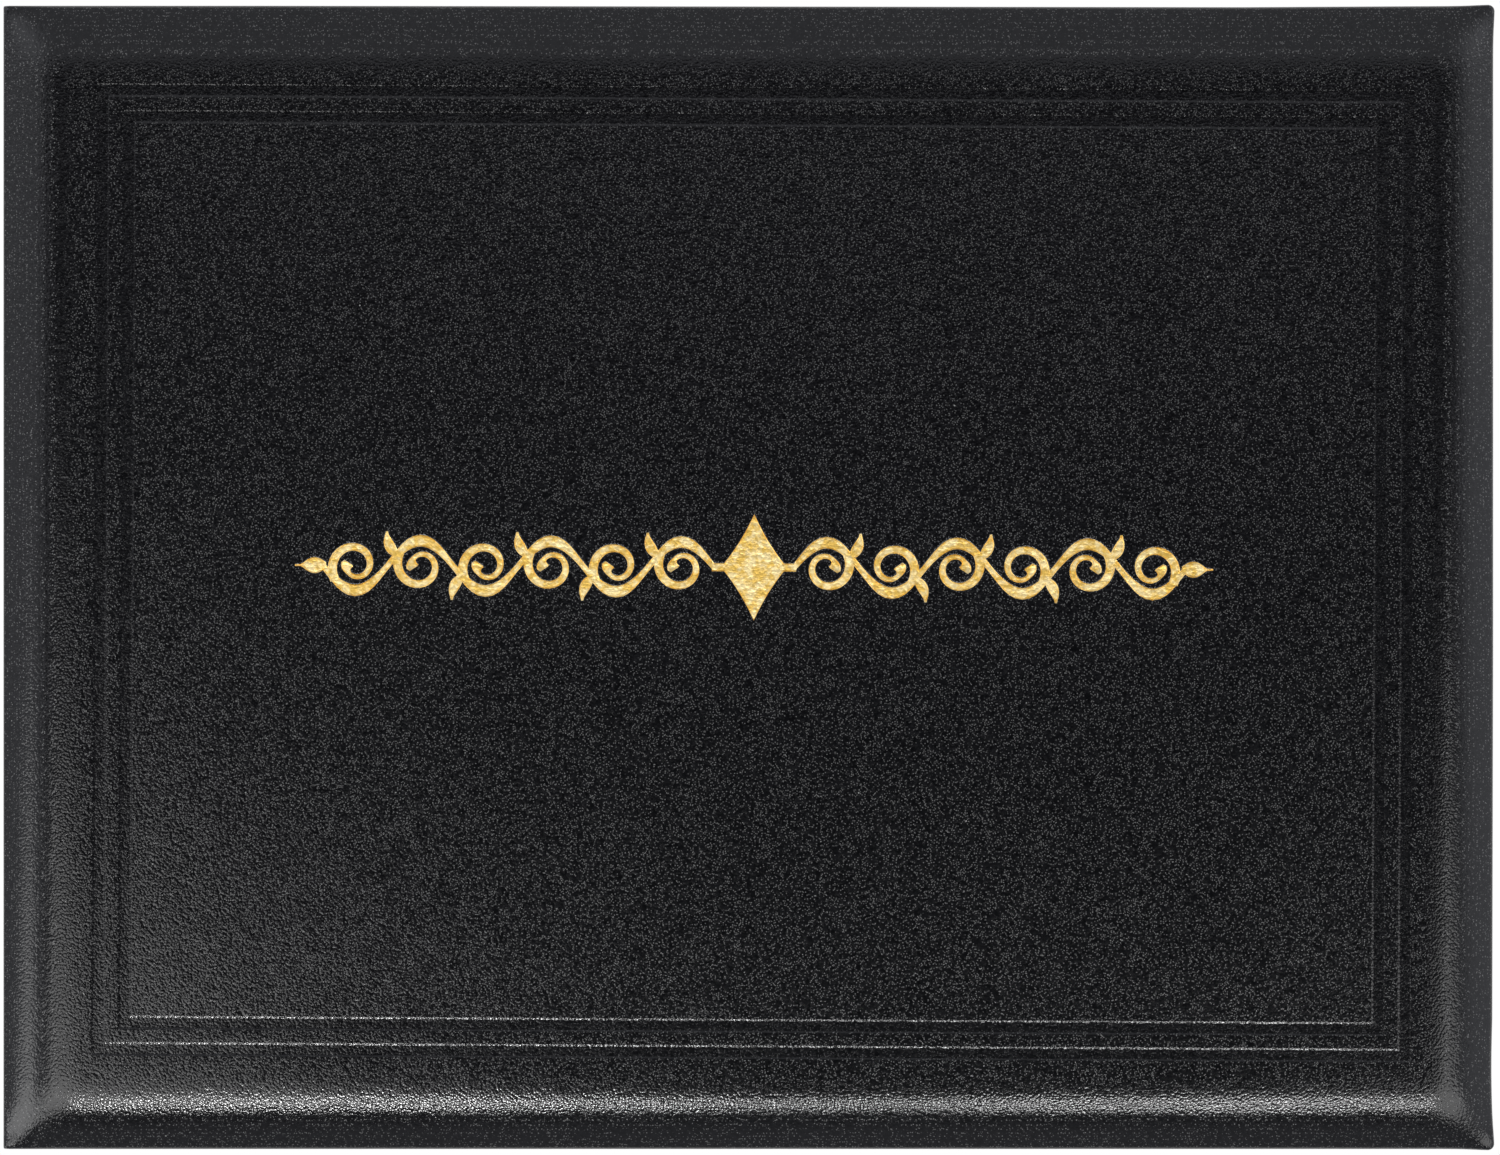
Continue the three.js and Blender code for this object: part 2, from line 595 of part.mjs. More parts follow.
// Back cover.
addPiece("back_leatherette", geometryOf(backSheet()), leatherette);
addPiece("back_board", boardGeometry(SKIN, BACK_BOARD_TOP), greyboard);
addPiece("back_hinge_lining", hingeLining(BACK_BOARD_TOP, 1), leatherette);
addPiece("back_panel_card", cardGeometry(BACK_PANEL_BASE, LAYER_GAP), panelCard);
addPiece("back_panel_moire", geometryOf(panelCloth(BACK_PANEL_BASE, true)), moire);
addPiece(
  "clear_sheet",
  new THREE.BoxGeometry(SHEET_WIDTH, SHEET_HEIGHT, CLEAR_SHEET),
  clearFilm,
).position.set(PANEL_CENTRE_X, 0, SHEET_BASE + CLEAR_SHEET / 2);

// The four corner ribbons are one piece, mirrored to each corner of the panel.
for (const [across, sideways] of [["spine", -1], ["edge", 1]]) {
  for (const [along, upward] of [["tail", -1], ["head", 1]]) {
    const ribbon = addPiece(`ribbon_${along}_${across}`, geometryOf(ribbonSolid()), satin);
    ribbon.position.set(sideways > 0 ? PANEL_RIGHT : PANEL_LEFT, upward * PANEL_HALF_HEIGHT, 0);
    ribbon.scale.set(sideways, upward, 1);
  }
}

// Spine.
addPiece("spine_leatherette", spineStrip(0, SKIN, 0, HALF_HEIGHT), leatherette);
addPiece(
  "spine_lining",
  spineStrip(SKIN / 2 + LAYER_GAP + HINGE_LINING / 2, HINGE_LINING, SKIN + HINGE_LINING, HALF_HEIGHT - TURN_IN),
  leatherette,
);

// Front cover.
addPiece("front_panel_moire", geometryOf(panelCloth(FRONT_PANEL_BASE, false)), moire);
addPiece("front_panel_card", cardGeometry(FRONT_PANEL_BASE, LAYER_GAP), panelCard);
addPiece("front_hinge_lining", hingeLining(FRONT_BOARD_BASE, -1), leatherette);
addPiece("front_board", boardGeometry(FRONT_BOARD_BASE, FRONT_BOARD_TOP), greyboard);
addPiece("foam_pad", foamPad().toNonIndexed(), foam);
addPiece("front_leatherette", geometryOf(frontSheet()), leatherette);
addPiece(
  "gold_ornament",
  geometryOf(ornamentSolid(FOIL_FIT, PAD_TOP - STAMP_DEPTH, PAD_TOP - STAMP_DEPTH + FOIL)),
  goldFoil,
);

export default root;
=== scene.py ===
# %% [markdown]
# # A padded diploma cover
# The cover is one sheet of black leatherette over two greyboards. Foam under the front makes it puffy, and a hot
# brass die has pressed a double frame into it and laid down a gold foil ornament. The CAD model gives every size and
# every place. This file gives the looks: each soft or covered piece is drawn again as a fine mesh in the same place,
# and each surface gets a finish made of shader nodes. It starts by loading the CAD model.

import json
import math

import bmesh
import bpy
import numpy as np
from mathutils.geometry import delaunay_2d_cdt
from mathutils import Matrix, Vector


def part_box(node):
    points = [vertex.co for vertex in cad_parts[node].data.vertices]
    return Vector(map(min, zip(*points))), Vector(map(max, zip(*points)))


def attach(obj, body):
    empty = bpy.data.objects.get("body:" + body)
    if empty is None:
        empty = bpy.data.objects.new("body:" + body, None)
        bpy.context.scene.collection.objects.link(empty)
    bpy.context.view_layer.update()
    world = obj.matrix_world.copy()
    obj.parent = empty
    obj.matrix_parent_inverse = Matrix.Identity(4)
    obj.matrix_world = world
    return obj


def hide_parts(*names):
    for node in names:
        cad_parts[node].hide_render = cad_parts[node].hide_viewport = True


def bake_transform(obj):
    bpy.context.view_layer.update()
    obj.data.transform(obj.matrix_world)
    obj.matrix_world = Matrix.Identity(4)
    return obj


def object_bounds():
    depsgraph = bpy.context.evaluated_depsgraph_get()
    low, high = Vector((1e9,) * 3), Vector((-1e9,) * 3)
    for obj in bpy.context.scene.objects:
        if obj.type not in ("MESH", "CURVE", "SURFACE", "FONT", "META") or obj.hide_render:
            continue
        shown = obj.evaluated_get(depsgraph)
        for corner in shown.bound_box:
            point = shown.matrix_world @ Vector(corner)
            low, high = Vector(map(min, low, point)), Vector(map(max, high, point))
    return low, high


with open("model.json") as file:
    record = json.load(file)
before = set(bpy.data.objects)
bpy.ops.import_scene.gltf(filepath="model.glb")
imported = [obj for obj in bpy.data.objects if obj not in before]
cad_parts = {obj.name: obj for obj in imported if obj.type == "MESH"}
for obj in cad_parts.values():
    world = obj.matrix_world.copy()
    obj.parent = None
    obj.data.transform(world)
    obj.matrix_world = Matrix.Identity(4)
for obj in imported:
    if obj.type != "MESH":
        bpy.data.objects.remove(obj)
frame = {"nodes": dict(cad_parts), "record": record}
cad_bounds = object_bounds()
MM = 0.001

# %% [markdown]
# ## Sizes from the CAD model
# Sizes are read from the CAD nodes wherever a node shows them, so the looks can't drift away from the solids. What a
# box can't show, such as how far the pad's roll reaches in, is named here once.

# %% Sizes
sheet_low, sheet_high = (np.array(corner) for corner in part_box("front_leatherette"))
board_low, board_high = (np.array(corner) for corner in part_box("front_board"))
back_low, back_high = (np.array(corner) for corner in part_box("back_leatherette"))
panel_low, panel_high = (np.array(corner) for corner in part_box("back_panel_moire"))
folds = {joint["name"]: joint["pos_m"] for joint in frame["record"]["behaviour"]["joints"]}
FOLD_X = folds["front_crease"][0]
FORE_EDGE = sheet_high[0]
HALF_HEIGHT = sheet_high[1]
SHEET_LEFT = sheet_low[0]
PAD_TOP = sheet_high[2]
SKIN = board_low[2] - sheet_low[2]
FOAM = PAD_TOP - board_high[2] - SKIN
CORNER_RADIUS = 1.4 * MM
ROLL = 16 * MM
RIM = 0.6 * MM
TURN_IN = 15 * MM
print("pad", round(FOAM / MM, 2), "mm over the board, sheet", round(SKIN / MM, 2), "mm")

# %% [markdown]
# ## Meshes from numbers
# Every covered piece is worked out with numpy as rows of points, so one helper turns points and faces into a Blender
# object. It also keeps each point's place at rest, in millimetres, as an attribute. The finishes read that attribute,
# so the grain stays glued to the material. Most objects then ride on a CAD body, and each takes the place of the CAD
# nodes it stands for.


# %% Make an object
SHARP = math.radians(50)


def make_piece(name, points, faces, weld=0.0):
    mesh = bpy.data.meshes.new(name)
    mesh.from_pydata([tuple(map(float, p)) for p in points], [], [tuple(map(int, f)) for f in faces])
    if weld:
        work = bmesh.new()
        work.from_mesh(mesh)
        bmesh.ops.remove_doubles(work, verts=work.verts, dist=weld)
        work.to_mesh(mesh)
        work.free()
    mesh.validate()
    mesh.shade_smooth()
    mesh.set_sharp_from_angle(angle=SHARP)
    keep_place(mesh)
    piece = bpy.data.objects.new(name, mesh)
    bpy.context.scene.collection.objects.link(piece)
    print(name, len(mesh.polygons), "faces")
    return piece


def keep_place(mesh):
    places = np.empty(len(mesh.vertices) * 3, np.float32)
    mesh.vertices.foreach_get("co", places)
    attribute = mesh.attributes.get("place_mm") or mesh.attributes.new("place_mm", "FLOAT_VECTOR", "POINT")
    attribute.data.foreach_set("vector", places / MM)


def settle(piece, body, slot, *nodes):
    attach(piece, body)
    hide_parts(*nodes)


# %% [markdown]
# ## The shape of the pad
# Seen from above, the cover is a rectangle that is square at the spine and has a small radius at the fore-edge. The
# foam rolls down to each edge along a cubic curve, and at the corners two rolls multiply, so the sheet is pulled down
# there. The last 0.6 mm is the rim, where the sheet turns down over the board.


# %% Pad surface
def fullness(distance):
    return 1 - (1 - np.clip(distance / ROLL, 0, 1)) ** 3


def pad_rise(x, y):
    return FOAM * fullness(np.minimum(x - FOLD_X, FORE_EDGE - x)) * fullness(HALF_HEIGHT - np.abs(y))


def edge_distance(x, y):
    straight = np.minimum(FORE_EDGE - x, HALF_HEIGHT - np.abs(y))
    over_x = x - (FORE_EDGE - CORNER_RADIUS)
    over_y = np.abs(y) - (HALF_HEIGHT - CORNER_RADIUS)
    return np.where((over_x > 0) & (over_y > 0), CORNER_RADIUS - np.hypot(over_x, over_y), straight)


def rim_drop(x, y):
    near = np.clip(1 - edge_distance(x, y) / RIM, 0, 1)
    return RIM * (1 - np.sqrt(1 - near**2))


print("top of the pad", round(float(PAD_TOP) / MM, 2), "mm, roll", ROLL / MM, "mm, rim", RIM / MM, "mm")

# %% [markdown]
# ## The stamped frame
# The die pressed two channels into the pad, one inside the other. The foam has come back since, so they are shallow
# now: their walls lean by eleven degrees at most, and each lip and each foot is rounded with a smooth step. Only the
# lamps beyond the tail find them, and draw a fine line along each wall that faces the tail. The stamp sits a third of a
# degree askew, and the turn fades out before it reaches the edges.

# %% Frame section
FRAME_WIDTH = 262.9 * MM
FRAME_HEIGHT = 193.65 * MM
FRAME_CENTRE = np.array([1.1, 0.93]) * MM
STAMP_TURN = math.radians(-0.3)
STAMP_FADE = 12 * MM
CHANNEL_WIDTH = 2.5 * MM
CHANNEL_PITCH = 5.25 * MM
CHANNEL_DEPTH = 0.065 * MM
CHANNEL_WALL = 0.5 * MM


def smooth_step(value, low, high):
    t = np.clip((value - low) / (high - low), 0, 1)
    return t * t * (3 - 2 * t)


def channel_depth(inward):
    lip = CHANNEL_WALL / 3
    wall = np.zeros_like(inward)
    for start in (0, CHANNEL_PITCH):
        rising = smooth_step(inward, start - lip, start + CHANNEL_WALL - lip)
        falling = smooth_step(inward, start + CHANNEL_WIDTH - CHANNEL_WALL + lip, start + CHANNEL_WIDTH + lip)
        wall = np.maximum(wall, rising * (1 - falling))
    return CHANNEL_DEPTH * wall


def frame_depth(u, v):
    from_side = FRAME_WIDTH / 2 - np.abs(u - FRAME_CENTRE[0])
    from_end = FRAME_HEIGHT / 2 - np.abs(v - FRAME_CENTRE[1])
    return channel_depth(np.minimum(from_side, from_end))


print("frame", round(FRAME_WIDTH / MM, 1), "by", round(FRAME_HEIGHT / MM, 1), "mm")
print("channel", round(CHANNEL_WIDTH / MM, 2), "mm wide and", round(CHANNEL_DEPTH / MM, 3), "mm deep")

# %% [markdown]
# ## A grid that is fine only where the sheet bends
# The middle of the cover is flat, so a regular grid would waste its faces there. The grid's lines are packed at the
# rim, over the roll and in the channels, and only two lines each way cross the middle. They leave one large cell for
# the ornament, which gets a mesh of its own.


# %% Grid lines
RIM_ANGLES = (0, 18, 34, 48, 60, 72, 90)
ROLL_STEPS = 30
ROLL_SHARE = 0.97
WALL_LINES = (-0.19, -0.12, -0.05, 0.02, 0.09, 0.16, 0.23, 0.3, 0.37)
BETWEEN_CHANNELS = 0.74
LEAST_GAP = 0.012 * MM
SPINE_START = 0.1 * MM


def edge_lines():
    rim = [RIM * (1 - math.cos(math.radians(angle))) for angle in RIM_ANGLES]
    roll = list(np.linspace(RIM, ROLL * ROLL_SHARE, ROLL_STEPS)[1:])
    return rim + roll


def frame_lines():
    lines = []
    for start in (0, CHANNEL_PITCH):
        lines += [start + line * MM for line in WALL_LINES]
        lines += [start + CHANNEL_WIDTH - line * MM for line in WALL_LINES]
        lines += [start + CHANNEL_WIDTH / 2]
    return lines + [CHANNEL_PITCH * BETWEEN_CHANNELS]


def all_lines(low, high, frame_low, frame_high, middle, open_low=False):
    edge = edge_lines()
    if open_low:
        low_edge = [low] + [d + FOLD_X for d in edge if d + FOLD_X > low + SPINE_START]
    else:
        low_edge = [low + d for d in edge]
    lines = low_edge + [high - d for d in edge] + list(middle)
    lines += [frame_low + d for d in frame_lines()] + [frame_high - d for d in frame_lines()]
    lines = sorted(lines)
    kept = [lines[0]]
    for line in lines[1:]:
        if line - kept[-1] > LEAST_GAP:
            kept.append(line)
    return np.array(kept)


print("lines at an edge:", len(edge_lines()), "and over one side of the frame:", len(frame_lines()))


# %% [markdown]
# ## Round corners and a stamp askew
# A grid has square corners. The elliptical map bends the last bit of it onto a quarter circle without folding any cell,
# and it leaves the rest alone. The stamp's turn is added next, and last come the small faults of a hand-turned edge:
# the leatherette piles up a little at the two corners, and is drawn in along the head and near the tail.


# %% Places on the cover
FAULT_FADE = 14 * MM
PILE_SIDE, PILE_END, PILE_REACH = 0.3 * MM, 0.25 * MM, 5 * MM
DRAWN_SIDE, DRAWN_SIDE_Y, DRAWN_SIDE_REACH = 0.35 * MM, -98 * MM, 12 * MM
DRAWN_HEAD, DRAWN_HEAD_X, DRAWN_HEAD_REACH = 0.3 * MM, 90 * MM, 40 * MM


def round_corners(u, v, inset=0.0):
    radius = CORNER_RADIUS - inset
    right, half = FORE_EDGE - inset, HALF_HEIGHT - inset
    a = np.clip((u - (right - radius)) / radius, 0, 1)
    b = np.clip((np.abs(v) - (half - radius)) / radius, 0, 1)
    in_corner = (a > 0) & (b > 0)
    x = np.where(in_corner, right - radius + radius * a * np.sqrt(1 - b**2 / 2), u)
    y = np.where(in_corner, half - radius + radius * b * np.sqrt(1 - a**2 / 2), np.abs(v)) * np.sign(v)
    return x, y


def turn_with_stamp(x, y):
    inward = np.minimum(np.minimum(x - FOLD_X, FORE_EDGE - x), HALF_HEIGHT - np.abs(y))
    turn = STAMP_TURN * smooth_step(inward, 0, STAMP_FADE)
    dx, dy = x - FRAME_CENTRE[0], y - FRAME_CENTRE[1]
    return (
        FRAME_CENTRE[0] + dx * np.cos(turn) - dy * np.sin(turn),
        FRAME_CENTRE[1] + dx * np.sin(turn) + dy * np.cos(turn),
    )


def hand_turned(points):
    points = points.copy()
    x, y = points[:, 0].copy(), points[:, 1].copy()
    near_side = smooth_step(x, FORE_EDGE - FAULT_FADE, FORE_EDGE)
    near_end = smooth_step(np.abs(y), HALF_HEIGHT - FAULT_FADE, HALF_HEIGHT)
    piled_x = PILE_SIDE * np.exp(-(((HALF_HEIGHT - np.abs(y)) / PILE_REACH) ** 2))
    piled_y = PILE_END * np.exp(-(((FORE_EDGE - x) / PILE_REACH) ** 2))
    drawn_side = DRAWN_SIDE * np.exp(-(((y - DRAWN_SIDE_Y) / DRAWN_SIDE_REACH) ** 2))
    drawn_head = DRAWN_HEAD * np.exp(-(((x - DRAWN_HEAD_X) / DRAWN_HEAD_REACH) ** 2)) * (y > 0)
    points[:, 0] += near_side * (piled_x - drawn_side)
    points[:, 1] += near_end * (np.sign(y) * piled_y - drawn_head)
    return points


# %% [markdown]
# ## A sheet wrapped round a board
# Both covers are made the same way, so one function makes both. A grid covers the outside, then loops of points follow
# the outline down the board's edge and back in under it, to the cut edge of the turn-in. At each corner the loops meet
# on the mitre line, where the maker trimmed and folded the sheet.


# %% Wrapped sheet
TINY = 1e-7


def loop_point(kind, x, y, arm, inset):
    right, half = FORE_EDGE - inset, HALF_HEIGHT - inset
    if kind == "corner":
        if inset >= CORNER_RADIUS:
            return right, math.copysign(half, y)
        centre = np.array([FORE_EDGE - CORNER_RADIUS, math.copysign(HALF_HEIGHT - CORNER_RADIUS, y)])
        return tuple(centre + (CORNER_RADIUS - inset) * arm)
    if kind == "side":
        return right, min(max(y, -half), half)
    return min(x, right), math.copysign(half, y)


def wrapped_sheet(lines_x, lines_y, height, profile, hole=None, flip=False):
    u, v = np.meshgrid(lines_x, lines_y)
    x, y = round_corners(u, v)
    x, y = turn_with_stamp(x, y)
    points = [tuple(p) for p in np.stack([x, y, height(x, y, u, v)], -1).reshape(-1, 3)]
    columns, rows = len(lines_x), len(lines_y)
    faces = []
    for j in range(rows - 1):
        for i in range(columns - 1):
            if (i, j) != hole:
                a = j * columns + i
                faces.append((a, a + 1, a + columns + 1, a + columns))
    ring = list(range(columns))
    ring += [j * columns + columns - 1 for j in range(1, rows)]
    ring += [(rows - 1) * columns + i for i in range(columns - 2, -1, -1)]
    shape = []
    for k in ring:
        px, py, _ = points[k]
        over = np.array([px - (FORE_EDGE - CORNER_RADIUS), abs(py) - (HALF_HEIGHT - CORNER_RADIUS)])
        if over.min() > TINY:
            arm = over / np.hypot(*over) * [1, math.copysign(1, py)]
            shape.append(("corner", px, py, arm))
        else:
            shape.append(("side" if over[0] > TINY else "end", px, py, None))
    last = ring
    for inset, z in profile:
        start = len(points)
        points += [(*loop_point(*s, inset), z) for s in shape]
        loop = [start + n for n in range(len(shape))]
        faces += [(last[n], loop[n], loop[n + 1], last[n + 1]) for n in range(len(loop) - 1)]
        last = loop
    if flip:
        faces = [tuple(reversed(f)) for f in faces]
    return points, faces


# %% [markdown]
# ## The ornament's drawing
# A brush stroke is a curve with a width that changes along it. A wavy stem runs out from a lozenge, a curl ends in a
# ball inside every wave, and a leaf fills the gap between two waves. The same strokes, drawn a little wider, give the
# soft shoulder and the lip of the pressed recess round the foil.

# %% Strokes
ORNAMENT_CENTRE = np.array([1.2, 2.0]) * MM
SCROLL_START = 8.0
SCROLL_PITCH = 13.0
SCROLL_COUNT = 6
SCROLL_RISE = 5.0
STEM_THIN, STEM_THICK = 0.45, 1.05
CURL_TURNS, CURL_EYE, CURL_THIN, CURL_BALL = 1.15, 1.5, 0.35, 1.15
CURL_START = math.radians(35)
CURL_WIND = 0.8
BALL_START, BALL_FULL, BALL_CLOSE = 0.82, 0.97, 0.45
LEAF_LENGTH, LEAF_WIDTH = 5.0, 0.95
LEAF_ROOT, LEAF_ROOT_FULLNESS = 0.86, 0.15
LEAF_LEAN, LEAF_LIFT = 38, 28
TIP_LENGTH, TIP_WIDTH, TIP_LAP = 6.0, 1.5, 0.6
BAR_LAP, BAR_EXTRA = 0.4, 0.25
LOZENGE_WIDTH, LOZENGE_HEIGHT, LOZENGE_PINCH = 13.0, 21.0, 0.42
THINNEST = 0.05
STEM_STEPS, CURL_STEPS, LEAF_STEPS, TIP_STEPS = 12, 34, 10, 12


def lerp(a, b, t):
    return a + (b - a) * t


def stroke(curve, half_width, steps, wider):
    left, right = [], []
    for i in range(steps + 1):
        t = i / steps
        point, ahead, behind = curve(t), curve(t + 1e-3), curve(t - 1e-3)
        along = (ahead - behind) / np.hypot(*(ahead - behind))
        end = min(t, 1 - t) < 1e-9
        place = point + along * (wider if t > 0.5 else -wider) * end
        across = np.array([-along[1], along[0]]) * max(half_width(t) + wider, THINNEST)
        left.append(place + across)
        right.append(place - across)
    return np.array(left + right[::-1])


def stem(side, wider):
    length = SCROLL_PITCH * SCROLL_COUNT
    curve = lambda t: np.array(
        [side * (SCROLL_START + t * length), SCROLL_RISE * math.sin(math.pi * t * SCROLL_COUNT)]
    )
    width = lambda t: lerp(STEM_THIN, STEM_THICK, math.sin(math.pi * t * SCROLL_COUNT) ** 2)
    return stroke(curve, width, STEM_STEPS * SCROLL_COUNT, wider)


def curl(side, index, wider):
    hump = 1 if index % 2 == 0 else -1
    centre = SCROLL_START + SCROLL_PITCH * (index + 0.5)

    def curve(t):
        radius = lerp(SCROLL_RISE, CURL_EYE, max(t, 0) ** CURL_WIND)
        angle = CURL_START - t * CURL_TURNS * 2 * math.pi
        return np.array([side * (centre + radius * math.cos(angle)), hump * radius * math.sin(angle)])

    def width(t):
        ball = float(smooth_step(t, BALL_START, BALL_FULL) * (1 - BALL_CLOSE * smooth_step(t, BALL_FULL, 1)))
        return lerp(lerp(STEM_THICK * 0.8, CURL_THIN, min(t / 0.8, 1)), CURL_BALL, ball)

    return stroke(curve, width, CURL_STEPS, wider)


def leaf(side, index, wider):
    hump = 1 if index % 2 == 0 else -1
    height = hump * SCROLL_RISE * math.sin(math.pi * LEAF_ROOT)
    root = np.array([SCROLL_START + SCROLL_PITCH * (index + LEAF_ROOT), height])

    def curve(t):
        lean = math.radians(LEAF_LEAN + LEAF_LIFT * t)
        place = root + LEAF_LENGTH * t * np.array([math.cos(lean), hump * math.sin(lean)])
        return place * [side, 1]

    def width(t):
        return max(LEAF_WIDTH * math.sin(math.pi * lerp(LEAF_ROOT_FULLNESS, 1, t)), 0.1)

    return stroke(curve, width, LEAF_STEPS, wider)


def tip(side, wider):
    start = SCROLL_START + SCROLL_PITCH * SCROLL_COUNT - TIP_LAP
    curve = lambda t: np.array([side * (start + TIP_LENGTH * t), 0.0])
    width = lambda t: max(TIP_WIDTH * math.sin(math.pi * min(0.1 + 1.1 * t, 1)), 0.1)
    return stroke(curve, width, TIP_STEPS, wider)


def lozenge(wider):
    w, h = LOZENGE_WIDTH / 2 + wider, LOZENGE_HEIGHT / 2 + wider
    corners = [(w, 0), (0, h), (-w, 0), (0, -h)]
    points = []
    for (ax, ay), (bx, by) in zip(corners, corners[1:] + corners[:1]):
        pinch = np.array([ax + bx, ay + by]) * LOZENGE_PINCH
        for t in np.arange(10) / 10:
            start, end = np.array([ax, ay]), np.array([bx, by])
            points.append((1 - t) ** 2 * start + 2 * t * (1 - t) * pinch + t**2 * end)
    return np.array(points)


def bar(wider):
    reach, half = SCROLL_START + BAR_LAP, STEM_THIN + BAR_EXTRA + wider
    return np.array([(-reach, -half), (reach, -half), (reach, half), (-reach, half)])


def ornament_outlines(wider):
    outlines = [lozenge(wider), bar(wider)]
    for side in (-1, 1):
        outlines += [stem(side, wider), tip(side, wider)]
        outlines += [curl(side, i, wider) for i in range(SCROLL_COUNT)]
        outlines += [leaf(side, i, wider) for i in range(SCROLL_COUNT - 1)]
    return outlines


print("strokes:", len(ornament_outlines(0)))

# %% [markdown]
# ## The stamped plate
# A constrained triangulation takes all the outlines at once, overlaps and all, and says for each triangle which
# outlines it lies in. Five nested widths give the foot, the wall, the shoulder and the lip of the recess, so it comes
# out rounded, as leatherette over foam is. The foil is the same drawing, a hair above the sheet that it is pressed into.

# %% Triangulate the ornament
STEP_WIDTHS = [-0.14, 0.0, 0.1, 0.3, 0.6]
STEP_DEPTHS = np.array([0.3, 0.12, 0.03, 0, 0, 0]) * MM
FOIL_LIFT = 0.02 * MM


def counter_clockwise(outline):
    x, y = outline[:, 0], outline[:, 1]
    area = np.sum(x * np.roll(y, -1) - np.roll(x, -1) * y)
    return outline if area > 0 else outline[::-1]


def stamped_plate(corners):
    corners_mm = (corners - ORNAMENT_CENTRE) / MM
    turn = np.array(
        [[math.cos(STAMP_TURN), -math.sin(STAMP_TURN)], [math.sin(STAMP_TURN), math.cos(STAMP_TURN)]]
    )
    outlines = [counter_clockwise(corners_mm @ turn)]
    level_of = [len(STEP_WIDTHS)]
    for level, wider in enumerate(STEP_WIDTHS):
        for outline in ornament_outlines(wider):
            outlines.append(counter_clockwise(outline))
            level_of.append(level)
    flat, loops = [], []
    for outline in outlines:
        loops.append(list(range(len(flat), len(flat) + len(outline))))
        flat += [tuple(p) for p in outline]
    plan, _, faces, _, _, within = delaunay_2d_cdt(flat, [], loops, 1, 1e-5)
    level = [min(level_of[k] for k in inside) for inside in within]
    vertex_level = np.full(len(plan), len(STEP_WIDTHS))
    for face, n in zip(faces, level):
        for k in face:
            vertex_level[k] = min(vertex_level[k], n)
    xy = np.array([tuple(p) for p in plan]) @ turn.T * MM + ORNAMENT_CENTRE
    return np.column_stack([xy, PAD_TOP - STEP_DEPTHS[vertex_level]]), faces, level


print("recess", STEP_DEPTHS[0] / MM, "mm deep, in", len(STEP_WIDTHS), "steps")

# %% [markdown]
# ## The padded front
# The grid and the plate are welded at the plate's four corners. The sheet then goes down the board's edge, round its
# lower arris and 15 mm back in under it.

# %% Front cover sheet
PLATE_LOW = np.array([-97, -16]) * MM
PLATE_HIGH = np.array([99, 20]) * MM
ARRIS = 0.45 * MM
ARRIS_STEPS = 5
UNDER_SHARES = (0.1, 0.3, 0.6, 0.97)
WELD = 0.004 * MM
frame_x = FRAME_CENTRE[0] - FRAME_WIDTH / 2, FRAME_CENTRE[0] + FRAME_WIDTH / 2
frame_y = FRAME_CENTRE[1] - FRAME_HEIGHT / 2, FRAME_CENTRE[1] + FRAME_HEIGHT / 2
lines_x = all_lines(SHEET_LEFT, FORE_EDGE, *frame_x, (PLATE_LOW[0], PLATE_HIGH[0]), open_low=True)
lines_y = all_lines(-HALF_HEIGHT, HALF_HEIGHT, *frame_y, (PLATE_LOW[1], PLATE_HIGH[1]))
plate_cell = tuple(int(np.argmin(abs(lines - low))) for lines, low in zip((lines_x, lines_y), PLATE_LOW))


def front_height(x, y, u, v):
    return PAD_TOP - FOAM + pad_rise(x, y) - rim_drop(x, y) - frame_depth(u, v)


def turned_edge(top, base):
    towards = math.copysign(ARRIS, top - base)
    down = [(0.0, lerp(top, base + towards, t)) for t in (0.5, 1)]
    angles = [math.radians(90 * n / ARRIS_STEPS) for n in range(1, ARRIS_STEPS + 1)]
    bend = [(ARRIS * (1 - math.cos(a)), base + towards * (1 - math.sin(a))) for a in angles]
    under = [(TURN_IN * share, base) for share in UNDER_SHARES]
    inward = math.copysign(SKIN, top - base)
    return down + bend + under + [(TURN_IN, base + inward * 0.2), (TURN_IN, base + inward)]


front_profile = turned_edge(PAD_TOP - FOAM - RIM, sheet_low[2])
points, faces = wrapped_sheet(lines_x, lines_y, front_height, front_profile, hole=plate_cell)
(west, south), (east, north) = PLATE_LOW, PLATE_HIGH
plate_places = [(west, south), (east, south), (east, north), (west, north)]
plate_corners = np.array([turn_with_stamp(np.array(x), np.array(y)) for x, y in plate_places])
plate_points, plate_faces, plate_levels = stamped_plate(plate_corners)
offset = len(points)
all_points = hand_turned(np.vstack([np.array(points), plate_points]))
all_faces = faces + [tuple(k + offset for k in face) for face in plate_faces]
front_sheet = make_piece("padded_front_sheet", all_points, all_faces, weld=WELD)
settle(front_sheet, "front_cover", "leatherette", "front_leatherette", "foam_pad")

# %% [markdown]
# ## The gold foil
# The foil is only microns thick, so it is a skin and not a slab. It covers the floor of the recess and runs a little
# way up its walls, which is why the real line has a bright rim.

# %% Foil
foil_faces = [face for face, level in zip(plate_faces, plate_levels) if level < 3]
used = sorted({k for face in foil_faces for k in face})
number = {k: n for n, k in enumerate(used)}
foil_points = plate_points[used] + [0, 0, FOIL_LIFT]
foil = make_piece("gold_foil_scroll", foil_points, [tuple(number[k] for k in f) for f in foil_faces])
settle(foil, "front_cover", "gold_foil", "gold_ornament")

# %% [markdown]
# ## The plain back
# The back cover has no foam. Its sheet is flat underneath, with the same turned edges on three sides.

